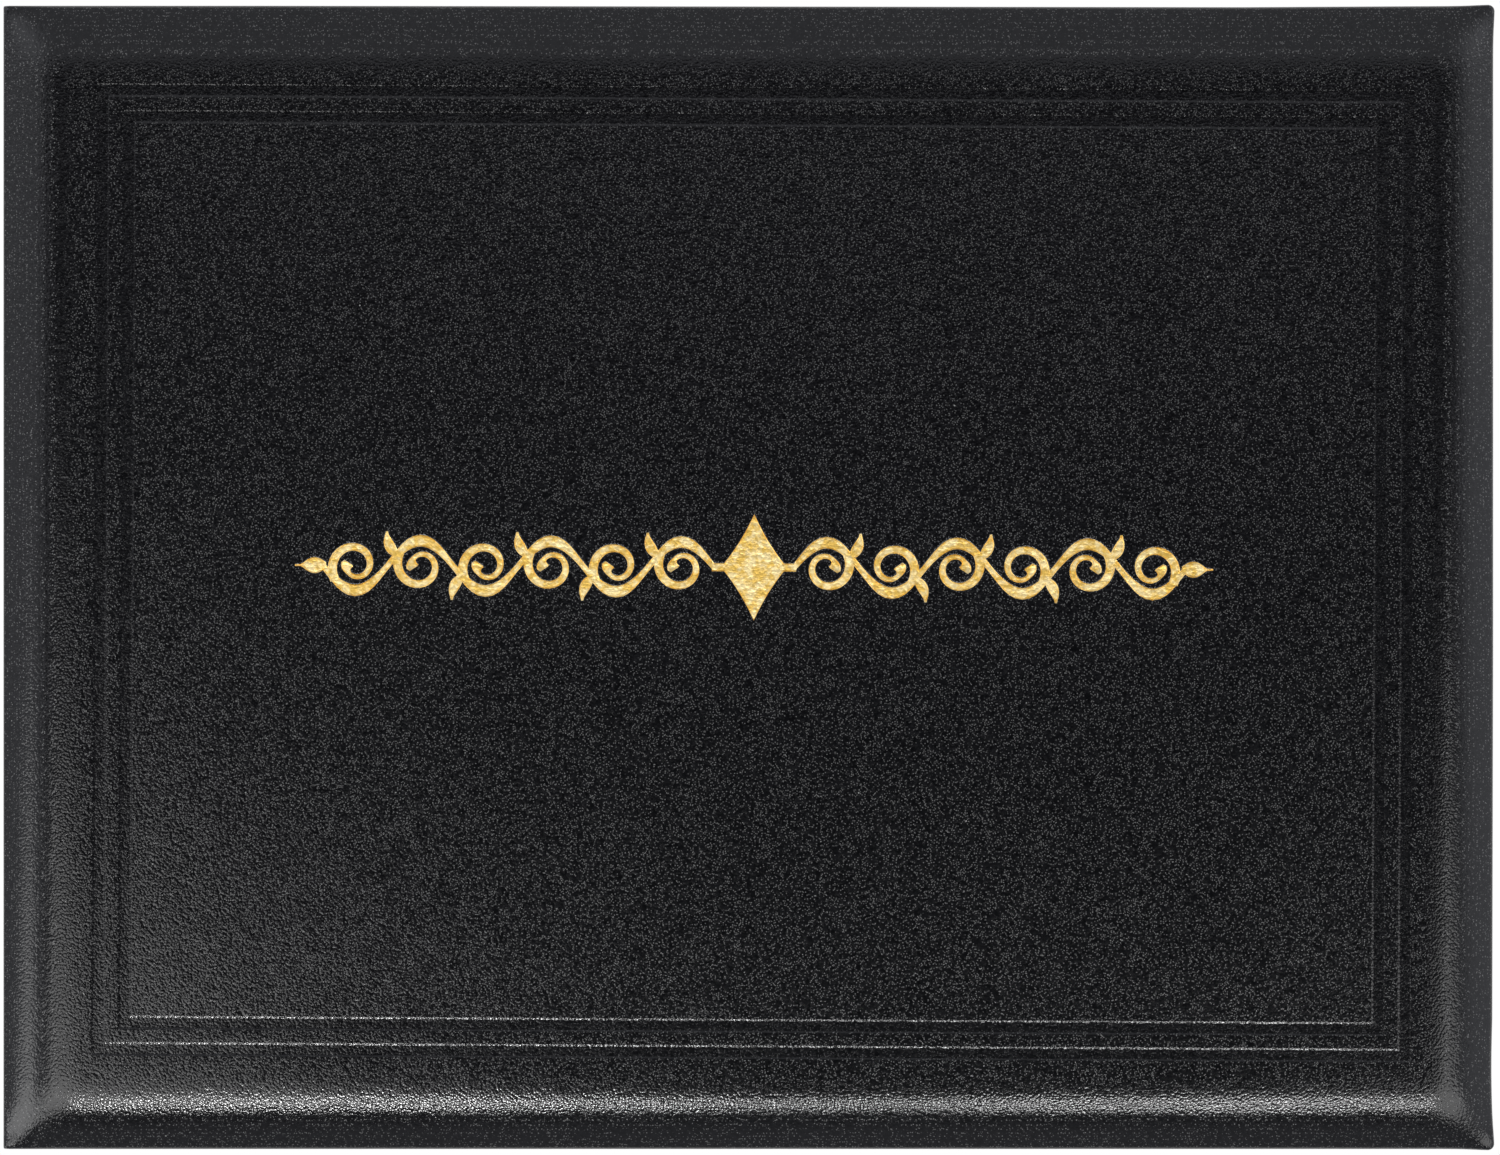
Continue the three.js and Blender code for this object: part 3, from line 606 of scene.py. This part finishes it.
# %% Back cover sheet
BACK_EDGE = np.array([3, 1.4, 0.9, 0.45, 0]) * MM
back_across, back_along = np.linspace(-120, 120, 9) * MM, np.linspace(-90, 90, 7) * MM
back_lines_x = np.array([back_low[0], *back_across, *(FORE_EDGE - BACK_EDGE)])
back_lines_y = np.array([*(BACK_EDGE[::-1] - HALF_HEIGHT), *back_along, *(HALF_HEIGHT - BACK_EDGE)])
BACK_ARRIS = 0.35 * MM


def back_height(x, y, u, v):
    near = np.clip(1 - edge_distance(x, y) / BACK_ARRIS, 0, 1)
    return BACK_ARRIS * (1 - np.sqrt(1 - near**2))


back_profile = turned_edge(BACK_ARRIS, back_high[2])
points, faces = wrapped_sheet(back_lines_x, back_lines_y, back_height, back_profile, flip=True)
back_sheet = make_piece("back_cover_sheet", points, faces)
settle(back_sheet, "back_cover", "leatherette", "back_leatherette")

# %% [markdown]
# ## The spine and its creases
# The sheet runs round the spine in one piece, and it bends at two creases. A band of it is drawn as a path seen end on,
# given a thickness and carried along the spine. It is cut in two at the middle of the spine, where nothing bends, and
# each half is shaped over one crease. The black lining inside is made the same way, with a slack fold in the gutter so
# that the cover can open. A path's points are X and Z in millimetres.


# %% Bands along the spine
PATH_STEPS = 7
END_ROUND = (0, 0.08, 0.3, 0.8)
END_TUCKS = [0.35, 0.16, 0.04]
ROW_PLACES = np.array([1, 2, 3.5, 5.5, 8, 11, 14, 17]) * MM


def smooth_path(corners):
    c = np.array(corners, float) * MM
    c = np.vstack([2 * c[0] - c[1], c, 2 * c[-1] - c[-2]])
    path = []
    for a, b, d, e in zip(c, c[1:], c[2:], c[3:]):
        for t in np.arange(PATH_STEPS) / PATH_STEPS:
            square, cube = 2 * a - 5 * b + 4 * d - e, 3 * b - a - 3 * d + e
            path.append(0.5 * (2 * b + (d - a) * t + square * t**2 + cube * t**3))
    return np.array(path + [c[-2]])


def band(name, corners, thickness, half_length, drop=None):
    path = smooth_path(corners)
    along = np.gradient(path, axis=0)
    along /= np.linalg.norm(along, axis=1)[:, None]
    across = np.column_stack([along[:, 1], -along[:, 0]]) * thickness
    near = [e * thickness for e in END_ROUND] + list(ROW_PLACES)
    rows = [-half_length + e for e in near] + [0] + [half_length - e for e in reversed(near)]
    tucks = END_TUCKS + [0] * (len(rows) - 2 * len(END_TUCKS)) + END_TUCKS[::-1]
    count = len(path)
    points = []
    for y, tuck in zip(rows, tucks):
        fall = drop(path, y) if drop else np.zeros((count, 2))
        points += [(x, y, z) for x, z in path + across * tuck - fall]
        points += [(x, y, z) for x, z in (path + across * (1 - tuck) - fall)[::-1]]
    round_count = 2 * count
    faces = []
    for j in range(len(rows) - 1):
        for i in range(round_count):
            a, b = j * round_count + i, j * round_count + (i + 1) % round_count
            faces.append((a, b, b + round_count, a + round_count))
    last = (len(rows) - 1) * round_count
    for i in range(count - 1):
        faces.append((i + 1, i, round_count - 1 - i, round_count - 2 - i))
        faces.append((last + i, last + i + 1, last + round_count - 2 - i, last + round_count - 1 - i))
    return make_piece(name, points, faces)


def bend(piece, body_a, body_b, start, end, slot, *nodes):
    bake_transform(piece)
    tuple(start)
    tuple(end)
    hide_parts(*nodes)


spine_low, spine_high = (np.array(corner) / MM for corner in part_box("spine_leatherette"))
spine_out = spine_low[0]
spine_mid = (spine_low[2] + spine_high[2]) / 2
pad_foot = (PAD_TOP - FOAM) / MM
skin_mm = SKIN / MM
left_mm = SHEET_LEFT / MM


def surface_at(x_mm):
    return pad_foot + float(pad_rise(np.array(x_mm * MM), np.array(0.0))) / MM - 0.02


def pad_fall(path, y):
    x = path[:, 0]
    high = smooth_step(path[:, 1], spine_mid * MM, pad_foot * MM)
    fall = pad_rise(x, 0 * x) - pad_rise(x, y + 0 * x) + high * rim_drop(FOLD_X + ROLL + 0 * x, y + 0 * x)
    return np.column_stack([0 * x, fall])


front_crease_path = [
    (spine_out, spine_mid),
    (spine_out + 0.02, spine_mid + 2.0),
    (spine_out + 0.06, spine_mid + 3.6),
    (spine_out + 0.14, spine_mid + 4.2),
    (spine_out + 0.32, pad_foot - 0.42),
    (spine_out + 0.6, pad_foot - 0.2),
    (FOLD_X / MM, surface_at(FOLD_X / MM) + 0.01),
    (left_mm, surface_at(left_mm)),
    (left_mm + 0.6, surface_at(left_mm + 0.6)),
]
back_crease_path = [
    (left_mm + 0.7, 0.02),
    (left_mm - 0.1, 0.02),
    (spine_out + 0.8, 0.1),
    (spine_out + 0.5, 0.45),
    (spine_out + 0.33, 1.1),
    (spine_out + 0.16, spine_mid - 3.0),
    (spine_out + 0.04, spine_mid - 1.5),
    (spine_out, spine_mid),
]
front_crease = band("spine_sheet_front_half", front_crease_path, SKIN, HALF_HEIGHT, pad_fall)
back_crease = band("spine_sheet_back_half", back_crease_path, SKIN, HALF_HEIGHT)
bend(
    front_crease,
    "spine",
    "front_cover",
    ((spine_out + 0.2) * MM, 0, (spine_mid + 3.6) * MM),
    ((left_mm + 0.3) * MM, 0, (surface_at(left_mm) - 0.1) * MM),
    "leatherette",
    "spine_leatherette",
)
bend(
    back_crease,
    "back_cover",
    "spine",
    ((left_mm + 0.3) * MM, 0, 0.1 * MM),
    ((spine_out + 0.2) * MM, 0, (spine_mid - 3.6) * MM),
    "leatherette",
    "spine_leatherette",
)

# %% [markdown]
# ## The lining in the gutter
# Each half of the lining lies on its board, turns down over the board's edge, makes a slack fold and runs up the inside
# of the spine.

# %% Hinge lining
LINING = 0.35 * MM
lining_low, lining_high = (np.array(corner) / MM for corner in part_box("back_hinge_lining"))
front_lining_low, _ = (np.array(corner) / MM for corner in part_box("front_hinge_lining"))
board_edge = board_low[0] / MM
spine_inside = spine_out + skin_mm + 0.1


def lining_path(face_z, fold_z):
    step = math.copysign(1, face_z - fold_z)
    return [
        (lining_high[0], face_z),
        (board_edge + 6, face_z),
        (board_edge + 0.4, face_z),
        (board_edge - 0.1, face_z - step * 0.25),
        (board_edge - 0.25, face_z - step * 0.9),
        (board_edge - 0.35, fold_z + step * 0.95),
        (board_edge - 0.65, fold_z + step * 0.7),
        (spine_inside + 0.35, fold_z + step * 0.95),
        (spine_inside + 0.18, fold_z + step * 1.9),
        (spine_inside, spine_mid),
    ]


back_lining_path = lining_path(lining_high[2], folds["back_crease"][2] / MM)[::-1]
front_lining_path = lining_path(front_lining_low[2], folds["front_crease"][2] / MM)
back_lining = band("gutter_lining_back_half", back_lining_path, LINING, lining_high[1] * MM)
front_lining = band("gutter_lining_front_half", front_lining_path, LINING, lining_high[1] * MM)
outer_gutter, inner_gutter = ((board_edge - 0.45) * MM, 0, 0), ((spine_inside + 0.35) * MM, 0, 0)
bend(
    back_lining,
    "back_cover",
    "spine",
    outer_gutter,
    inner_gutter,
    "leatherette",
    "back_hinge_lining",
    "spine_lining",
)
bend(
    front_lining,
    "spine",
    "front_cover",
    inner_gutter,
    outer_gutter,
    "leatherette",
    "front_hinge_lining",
    "spine_lining",
)

# %% [markdown]
# ## The moire panels
# Each inner face has a card wrapped in moire cloth, glued down over the raw edges of the turn-ins. A wrapped card is a
# thin plate with soft edges, so a box with bevelled edges is the whole shape, and the cloth's watered pattern is left
# to its finish.


# %% Panels
PANEL_EDGE = 0.3 * MM
EDGE_STEPS = 4


def soft_plate(name, low, high):
    work = bmesh.new()
    bmesh.ops.create_cube(work, size=1.0)
    for vertex in work.verts:
        for axis in range(3):
            vertex.co[axis] = low[axis] if vertex.co[axis] < 0 else high[axis]
    bmesh.ops.bevel(work, geom=work.edges[:], offset=PANEL_EDGE, segments=EDGE_STEPS, profile=0.5, affect="EDGES")
    points = [tuple(v.co) for v in work.verts]
    work.verts.index_update()
    faces = [tuple(v.index for v in f.verts) for f in work.faces]
    work.free()
    return make_piece(name, points, faces)


for cover in ("back", "front"):
    low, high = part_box(f"{cover}_panel_moire")
    panel = soft_plate(f"moire_panel_{cover}", low, high)
    settle(panel, f"{cover}_cover", "moire", f"{cover}_panel_moire", f"{cover}_panel_card")

# %% [markdown]
# ## The corner ribbons
# A satin ribbon crosses each corner of the back panel at 45 degrees, goes over the edges and is glued underneath. Its
# mesh is a strip of columns that all follow the same path: under the panel, up its edge, over the clear sheet, down the
# other edge and under again. Solidify gives it the thickness of satin.


# %% Ribbons
RIBBON_WIDTH = 10 * MM
RIBBON_THICKNESS = 0.25 * MM
RIBBON_TUCK = 5 * MM
RIBBON_COLUMNS = 9
RIBBON_CROSSING = (0.1, 0.25, 0.4, 0.5, 0.6, 0.75, 0.9)


def ribbon_column(along, out, high, low):
    soft = RIBBON_THICKNESS
    return [
        (-along - RIBBON_TUCK, out - RIBBON_TUCK, low),
        (-along - soft, out - soft, low),
        (-along, out, low + soft),
        (-along, out, high - soft),
        (-along + soft * 0.3, out - soft * 0.3, high - soft * 0.3),
        (-along + soft, out - soft, high),
        *[(lerp(-along, out, t), lerp(out, -along, t), high) for t in RIBBON_CROSSING],
        (out - soft, -along + soft, high),
        (out - soft * 0.3, -along + soft * 0.3, high - soft * 0.3),
        (out, -along, high - soft),
        (out, -along, low + soft),
        (out - soft, -along - soft, low),
        (out - RIBBON_TUCK, -along - RIBBON_TUCK, low),
    ]


def corner_ribbon(name, corner, side, end, node):
    node_low, node_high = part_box(node)
    reach = max(node_high[0] - node_low[0], node_high[1] - node_low[1])
    out = abs(node_high[0] if side > 0 else node_low[0]) - abs(corner[0]) - RIBBON_THICKNESS / 2
    widest = reach - RIBBON_TUCK - out
    narrowest = widest - RIBBON_WIDTH * math.sqrt(2)
    columns = [lerp(narrowest, widest, t) for t in np.linspace(0, 1, RIBBON_COLUMNS)]
    high, low = node_high[2] - RIBBON_THICKNESS / 2, node_low[2] + RIBBON_THICKNESS / 2
    grid = np.array([ribbon_column(column, out, high, low) for column in columns])
    grid *= [side, end, 1]
    grid += [corner[0], corner[1], 0]
    across, count = grid.shape[:2]
    faces = []
    for i in range(across - 1):
        for j in range(count - 1):
            a = i * count + j
            quad = (a, a + 1, a + count + 1, a + count)
            faces.append(quad if side * end > 0 else quad[::-1])
    ribbon = make_piece(name, grid.reshape(-1, 3), faces)
    solid = ribbon.modifiers.new("satin thickness", "SOLIDIFY")
    solid.thickness = RIBBON_THICKNESS
    solid.offset = 0
    settle(ribbon, "back_cover", "satin_ribbon", node)
    return ribbon


ribbons = []
for across, side in (("spine", -1), ("edge", 1)):
    for along, end in (("tail", -1), ("head", 1)):
        corner = (panel_high[0] if side > 0 else panel_low[0], end * panel_high[1])
        node = f"ribbon_{along}_{across}"
        ribbons.append(corner_ribbon(f"satin_{node}", corner, side, end, node))

# %% [markdown]
# ## Finishes as arithmetic
# A finish is a tree of shader nodes. Two small classes let it be written as formulas: a Wire is the output of a node,
# and adding or multiplying wires adds the Math nodes. Everything else goes through one method that makes any node.
# A cell's lot is a random number that is the same all over the cell.


# %% Wires and finishes
class Wire:
    """The output of a shader node, ready for arithmetic."""

    def __init__(self, finish, socket):
        self.finish, self.socket = finish, socket

    def _math(self, operation, *values):
        return self.finish.node("Math", {"operation": operation}, dict(enumerate(values)))

    def __add__(self, other):
        return self._math("ADD", self, other)

    def __radd__(self, other):
        return self._math("ADD", other, self)

    def __sub__(self, other):
        return self._math("SUBTRACT", self, other)

    def __rsub__(self, other):
        return self._math("SUBTRACT", other, self)

    def __mul__(self, other):
        return self._math("MULTIPLY", self, other)

    def __rmul__(self, other):
        return self._math("MULTIPLY", other, self)

    def __truediv__(self, other):
        return self._math("DIVIDE", self, other)

    def __rtruediv__(self, other):
        return self._math("DIVIDE", other, self)

    def __pow__(self, other):
        return self._math("POWER", self, other)

    def __rpow__(self, other):
        return self._math("POWER", other, self)

    def above(self, edge):
        return self._math("GREATER_THAN", self, edge)

    def below(self, edge):
        return self._math("LESS_THAN", self, edge)

    def ramp(self, low, high, to_low=0.0, to_high=1.0):
        ends = {"Value": self, "From Min": low, "From Max": high, "To Min": to_low, "To Max": to_high}
        return self.finish.node("MapRange", {"interpolation_type": "SMOOTHSTEP"}, ends)


class Finish:
    """A material, and the one method that adds a node to it."""

    def __init__(self, name, owner=None):
        self.material = owner or bpy.data.materials.new(name)
        self.material.use_nodes = True
        self.tree = self.material.node_tree
        self.tree.nodes.clear()

    def node(self, kind, settings=None, sockets=None, output=0):
        made = self.tree.nodes.new("ShaderNode" + kind)
        for key, value in (settings or {}).items():
            setattr(made, key, value)
        for key, value in (sockets or {}).items():
            if isinstance(value, Wire):
                self.tree.links.new(value.socket, made.inputs[key])
            else:
                made.inputs[key].default_value = value
        return Wire(self, made.outputs[output])

    def place(self):
        settings = {"attribute_name": "place_mm", "attribute_type": "GEOMETRY"}
        return self.node("Attribute", settings, output="Vector")

    def stretch(self, vector, scale):
        return self.node("VectorMath", {"operation": "MULTIPLY"}, {0: vector, 1: scale})

    def push(self, vector, other, amount):
        scaled = self.node("VectorMath", {"operation": "SCALE"}, {0: other, "Scale": amount})
        return self.node("VectorMath", {"operation": "ADD"}, {0: vector, 1: scaled})

    def noise(self, vector, scale, detail=2.0, roughness=0.5, output="Fac"):
        sockets = {"Vector": vector, "Scale": scale, "Detail": detail, "Roughness": roughness}
        return self.node("TexNoise", None, sockets, output)

    def cells(self, vector, scale, output="Distance"):
        return self.node("TexVoronoi", None, {"Vector": vector, "Scale": scale}, output)

    def cell_lot(self, vector, scale, channel):
        return self.node("SeparateColor", None, {"Color": self.cells(vector, scale, "Color")}, channel)

    def mix(self, factor, a, b):
        return self.node("Mix", {"data_type": "RGBA"}, {0: factor, 6: a, 7: b}, 2)

    def bump(self, height, distance, strength=1.0, normal=None):
        sockets = {"Height": height, "Distance": distance, "Strength": strength}
        if normal:
            sockets["Normal"] = normal
        return self.node("Bump", None, sockets)

    def close(self, **sockets):
        titles = {key: key.replace("_", " ").title().replace("Ior", "IOR") for key in sockets}
        surface = self.node("BsdfPrincipled", None, {titles[key]: value for key, value in sockets.items()})
        self.node_output(surface)
        return self.material

    def node_output(self, surface, kind="OutputMaterial"):
        out = self.tree.nodes.new("ShaderNode" + kind)
        self.tree.links.new(surface.socket, out.inputs["Surface"])


def rgb(red, green, blue):
    return (red, green, blue, 1.0)


# %% [markdown]
# ## Leatherette
# Leatherette is paper or cloth with a black coating, embossed with a very fine pebble. Irregular cells about half a
# millimetre across make the pebbles. Their sides lean by four degrees at most, so a lamp's reflection stays a narrow
# line on the roll and the middle of the cover stays dark. The sparkle of the grain is partly painted: smaller random
# points get a pale colour, which is a painted glint, and they are also made metallic and rougher, so that they catch
# the lamps over a wide angle. A slow wave under the pebbles is the soft foam, and there is a speck of dust here and
# there.

# %% Leatherette finish
PEBBLES_PER_MM, PAINTED_GLINTS_PER_MM, DUST_PER_MM = 1.9, 3.0, 0.35
PEBBLE_DEPTH, FOAM_WAVE = 0.029 * MM, 0.10 * MM
BLACK, BLACK_TOP = rgb(0.0025, 0.0025, 0.003), rgb(0.006, 0.006, 0.007)
# The pale point colour is a painted glint of the grain's sparkle; the dust colour is real dust.
PAINTED_GLINT, DUST = rgb(0.17, 0.17, 0.167), rgb(0.30, 0.30, 0.29)


def leatherette_finish(name, wave=1.0, dust=1.0):
    f = Finish(name)
    place = f.place()
    loose = f.push(place, f.noise(place, 1.1, 1.0, output="Color"), 0.3)
    pebble = f.cells(loose, PEBBLES_PER_MM)
    tone = f.cell_lot(loose, PEBBLES_PER_MM, "Red")
    fine = f.noise(place, 3.4, 2.0, 0.5)
    slow = f.noise(place, 0.11, 2.0, 0.4)
    slower = f.noise(place, 0.028, 1.0, 0.4)
    soft = f.bump(slow + slower * 2.2, FOAM_WAVE, 0.4 * wave)
    height = (1 - pebble * pebble) * 0.9 + tone * (1 - pebble) * 0.45 + fine * 0.06
    normal = f.bump(height, PEBBLE_DEPTH, 1.0, soft)
    # Painted glints: random points get a pale colour as a painted highlight, plus metallic gloss that reflects the
    # lamps.
    pale = f.cell_lot(place, PAINTED_GLINTS_PER_MM, "Blue").ramp(0.6, 1.0)
    painted_glint = pale * f.cells(place, PAINTED_GLINTS_PER_MM).ramp(0.55, 0.15)
    dusty = f.cell_lot(place, DUST_PER_MM, "Green").above(1 - 0.035 * dust)
    speck = dusty * f.cells(place, DUST_PER_MM).below(0.055)
    black = f.mix(painted_glint, f.mix(tone, BLACK, BLACK_TOP), PAINTED_GLINT)
    return f.close(
        base_color=f.mix(speck * 0.8, black, DUST),
        metallic=painted_glint * 0.6,
        roughness=0.11 + tone * 0.04 + painted_glint * 0.3,
        normal=normal,
        specular_ior_level=0.5,
    )


leatherette = leatherette_finish("leatherette pebble")
leatherette_flat = leatherette_finish("leatherette pebble over board", wave=0.35, dust=0.6)
for piece in (front_sheet, front_crease):
    piece.data.materials.append(leatherette)
for piece in (back_sheet, back_crease, back_lining, front_lining):
    piece.data.materials.append(leatherette_flat)
print("leatherette nodes:", len(leatherette.node_tree.nodes))

# %% [markdown]
# ## Gold foil
# Hot foil is a metal film that takes on the grain of what it is pressed into. It is satin rather than mirror bright,
# brushed along the line by the die, and worn a little through on its highest points.


# %% Foil finish
FOIL_GRAIN = 0.13 * MM
GOLD_DEEP, GOLD_LIGHT = rgb(0.83, 0.54, 0.12), rgb(1.0, 0.81, 0.41)
WORN = rgb(0.45, 0.26, 0.05)


def foil_finish():
    f = Finish("hot foil gold")
    place = f.place()
    pebble = f.cells(place, 1.3)
    fine = f.noise(place, 3.2, 3.0, 0.65)
    blotch = f.noise(place, 0.7, 2.0)
    streak = f.noise(f.stretch(place, (0.9, 3.4, 1.0)), 1.0, 2.0, 0.6)
    height = (1 - pebble * pebble) * 0.5 + fine * 0.35 + streak * 0.4
    worn = fine.ramp(0.62, 0.8) * 0.6
    gold = f.mix(blotch.ramp(0.35, 0.65), GOLD_DEEP, GOLD_LIGHT)
    return f.close(
        base_color=f.mix(worn, gold, WORN),
        metallic=1.0 - worn * 0.4,
        roughness=0.34 + fine.ramp(0.3, 0.7) * 0.14,
        normal=f.bump(height, FOIL_GRAIN, 0.8),
    )


foil.data.materials.append(foil_finish())
print("foil nodes:", len(foil.data.materials[0].node_tree.nodes))

# %% [markdown]
# ## Moire cloth, satin and the clear sheet
# Moire is ribbed taffeta pressed so that its ribs shine in watery bands. Fine ribs carry the bump, and the bands are
# contour lines of a stretched noise, which change both tone and gloss. Satin is plainer: long fine threads along the
# ribbon and a soft sheen. The clear sheet lets everything through but reflects the room at a slant. How much it
# reflects depends on the slant alone, so it is as clear from below, where light leaves it, as from above.


# %% Cloth and film finishes
RIB_PITCH = 0.42
WATER_RINGS = 95.0
GLOSS_STRAIGHT, GLOSS_SLANTING = 0.04, 0.6


def moire_finish():
    f = Finish("moire taffeta")
    place = f.place()
    split = f.node("SeparateXYZ", None, {"Vector": place}, "X")
    water = f.noise(f.stretch(place, (0.013, 0.06, 0.05)), 1.0, 3.0, 0.55)
    rings = f.node("Math", {"operation": "SINE"}, {0: water * WATER_RINGS})
    bands = (rings * 0.5 + 0.5).ramp(0.15, 0.95)
    ribs = f.node("Math", {"operation": "SINE"}, {0: split * 2 * math.pi / RIB_PITCH})
    thread = f.noise(f.stretch(place, (6.0, 0.8, 1.0)), 1.0, 2.0)
    colour = f.mix(bands, rgb(0.66, 0.63, 0.56), rgb(0.83, 0.81, 0.76))
    normal = f.bump(ribs * 0.5 + thread * 0.5 + bands * 0.6, 0.04 * MM, 0.5)
    return f.close(
        base_color=colour,
        roughness=0.62 - bands * 0.24,
        normal=normal,
        sheen_weight=0.25,
        sheen_roughness=0.4,
    )


def satin_finish():
    f = Finish("ribbon satin")
    place = f.place()
    slant = f.node("VectorRotate", {"rotation_type": "Z_AXIS"}, {"Vector": place, "Angle": math.radians(45)})
    threads = f.noise(f.stretch(slant, (9.0, 0.5, 1.0)), 1.0, 2.0, 0.6)
    colour = f.mix(threads, rgb(0.74, 0.72, 0.66), rgb(0.86, 0.84, 0.79))
    normal = f.bump(threads, 0.03 * MM, 0.4)
    return f.close(
        base_color=colour,
        roughness=0.34 + threads * 0.12,
        normal=normal,
        sheen_weight=0.3,
        sheen_roughness=0.3,
    )


def film_finish():
    f = Finish("clear film")
    wave = f.noise(f.place(), 0.02, 1.0)
    normal = f.bump(wave, 0.5 * MM, 0.3)
    gloss = f.node("BsdfAnisotropic", None, {"Color": rgb(1, 1, 1), "Roughness": 0.06, "Normal": normal})
    through = f.node("BsdfTransparent", None, {"Color": rgb(0.985, 0.988, 0.988)})
    slant = f.node("LayerWeight", None, {"Blend": 0.5, "Normal": normal}, "Facing")
    share = slant**3 * GLOSS_SLANTING + GLOSS_STRAIGHT
    f.node_output(f.node("MixShader", None, {0: share, 1: through, 2: gloss}))
    return f.material


def fibre_finish(name, light, dark, scale, grain):
    f = Finish(name)
    place = f.place()
    fibres = f.noise(place, scale, 4.0, 0.7)
    colour = f.mix(fibres.ramp(0.35, 0.7), dark, light)
    return f.close(base_color=colour, roughness=0.88 + fibres * 0.1, normal=f.bump(fibres, grain, 0.5))


moire_cloth = moire_finish()
ribbon_satin = satin_finish()
for cover in ("back", "front"):
    bpy.data.objects[f"moire_panel_{cover}"].data.materials.append(moire_cloth)
for ribbon in ribbons:
    ribbon.data.materials.append(ribbon_satin)


def finish_node(node, material):
    piece = frame["nodes"][node]
    keep_place(piece.data)
    piece.data.materials.clear()
    piece.data.materials.append(material)


finish_node("clear_sheet", film_finish())
greyboard = fibre_finish("greyboard", rgb(0.36, 0.34, 0.29), rgb(0.24, 0.22, 0.18), 1.6, 0.04 * MM)
for node in ("back_board", "front_board"):
    finish_node(node, greyboard)
print("finishes:", sorted(material.name for material in bpy.data.materials))

# %% [markdown]
# ## Floor, room and lamps
# The floor is white to the camera and pale grey to everything else, so the background stays plain white without
# more light on the cover. Overhead it is dark, which keeps the black black. The room is lit on all four sides, each as
# strongly as the cover's roll on that side asks for. Two small lamps beyond the tail draw the bright line along the
# lower roll, and larger ones give a soft glow beside the spine and the fore-edge. Each lamp has a place, a point that
# it faces, a size and its watts.


# %% Floor and world
FLOOR_REACH = 20
FLOOR_DROP = 0.05 * MM
ROOM = {"head": 0.501, "spine": 0.555, "fore": 0.829, "tail": 0.317}
ROOM_COLOUR = rgb(0.96, 0.98, 1.05)


def white_floor():
    f = Finish("white floor")
    kinds = ("Camera", "Glossy", "Transmission")
    rays = [f.node("LightPath", None, None, f"Is {kind} Ray") for kind in kinds]
    seen = f.node("Math", {"operation": "MAXIMUM"}, {0: rays[0], 1: rays[1]})
    seen = f.node("Math", {"operation": "MAXIMUM"}, {0: seen, 1: rays[2]})
    pale = f.node("BsdfDiffuse", None, {"Color": rgb(0.78, 0.78, 0.78)})
    white = f.node("Emission", None, {"Color": rgb(1, 1, 1), "Strength": 1.0})
    f.node_output(f.node("MixShader", None, {0: seen, 1: pale, 2: white}))
    return f.material


floor_mesh = bpy.data.meshes.new("floor")
floor_corners = [(x * FLOOR_REACH, y * FLOOR_REACH, 0) for x, y in ((-1, -1), (1, -1), (1, 1), (-1, 1))]
floor_mesh.from_pydata(floor_corners, [], [(0, 1, 2, 3)])
floor = bpy.data.objects.new("floor", floor_mesh)
floor.location.z = -FLOOR_DROP
floor_mesh.materials.append(white_floor())
bpy.context.scene.collection.objects.link(floor)

f = Finish("studio", bpy.data.worlds.new("studio"))
aim = f.node("TexCoord", None, None, "Generated")
east, north = (f.node("SeparateXYZ", None, {"Vector": aim}, axis) for axis in "XY")
strength = (
    north.ramp(0.08, 0.2) * ROOM["head"]
    + (0 - east).ramp(0.3, 0.6) * ROOM["spine"]
    + east.ramp(0.3, 0.8) * ROOM["fore"]
    + (0 - north).ramp(0.45, 0.8) * ROOM["tail"]
)
f.node_output(f.node("Background", None, {"Color": ROOM_COLOUR, "Strength": strength}), "OutputWorld")
bpy.context.scene.world = f.material
print("room", ROOM)


# %% Lamps
def lamp(name, place, aim, size, watts):
    light = bpy.data.lights.new(name, "AREA")
    light.shape = "RECTANGLE"
    light.size, light.size_y = size
    light.energy = watts
    holder = bpy.data.objects.new(name, light)
    holder.location = place
    away = holder.location - type(holder.location)(aim)
    holder.rotation_euler = away.to_track_quat("Z", "Y").to_euler()
    bpy.context.scene.collection.objects.link(holder)
    print(name, watts, "W")


LAMPS = {
    "tail lamp left": ((-0.13, -0.44, 0.95), (-0.08, -0.1, 0), (0.1, 0.05), 1.4),
    "tail lamp right": ((0.155, -0.44, 0.95), (0.1, -0.1, 0), (0.15, 0.05), 1.1),
    "spine light low": ((-0.88, -0.45, 0.65), (-0.14, -0.08, 0), (0.65, 0.5), 3.03),
    "spine glow": ((-0.42, -0.34, 0.95), (-0.14, -0.06, 0), (0.36, 0.5), 1.69),
    "fore-edge glow": ((0.5, -0.4, 0.95), (0.14, -0.06, 0), (0.5, 0.5), 1.99),
}
for name, settings in LAMPS.items():
    lamp(name, *settings)

# %% [markdown]
# ## The camera
# The cover was photographed from straight above, and it nearly fills the frame. A long lens a metre and a half away
# gives the same flat view. The frame is 1500 pixels wide, and 1491 of them are the cover.

# %% Camera
IMAGE_WIDTH, IMAGE_HEIGHT = 1500, 1155
COVER_PIXELS = 1491
COVER_CENTRE = (748.0, 577.4)
CAMERA_HEIGHT = 1.5
SENSOR = 36.0
cover_width = cad_bounds[1][0] - cad_bounds[0][0]
pixel = cover_width / COVER_PIXELS
camera_data = bpy.data.cameras.new("copy stand")
camera_data.sensor_width = SENSOR
camera_data.lens = SENSOR * (CAMERA_HEIGHT - (PAD_TOP - FOAM)) / (IMAGE_WIDTH * pixel)
camera = bpy.data.objects.new("copy stand", camera_data)
camera.location = (
    (IMAGE_WIDTH / 2 - COVER_CENTRE[0]) * pixel,
    (COVER_CENTRE[1] - IMAGE_HEIGHT / 2) * pixel,
    CAMERA_HEIGHT,
)
bpy.context.scene.collection.objects.link(camera)
bpy.context.scene.camera = camera
bpy.context.scene.view_settings.view_transform = "Standard"
print("lens", round(camera_data.lens, 1), "mm")
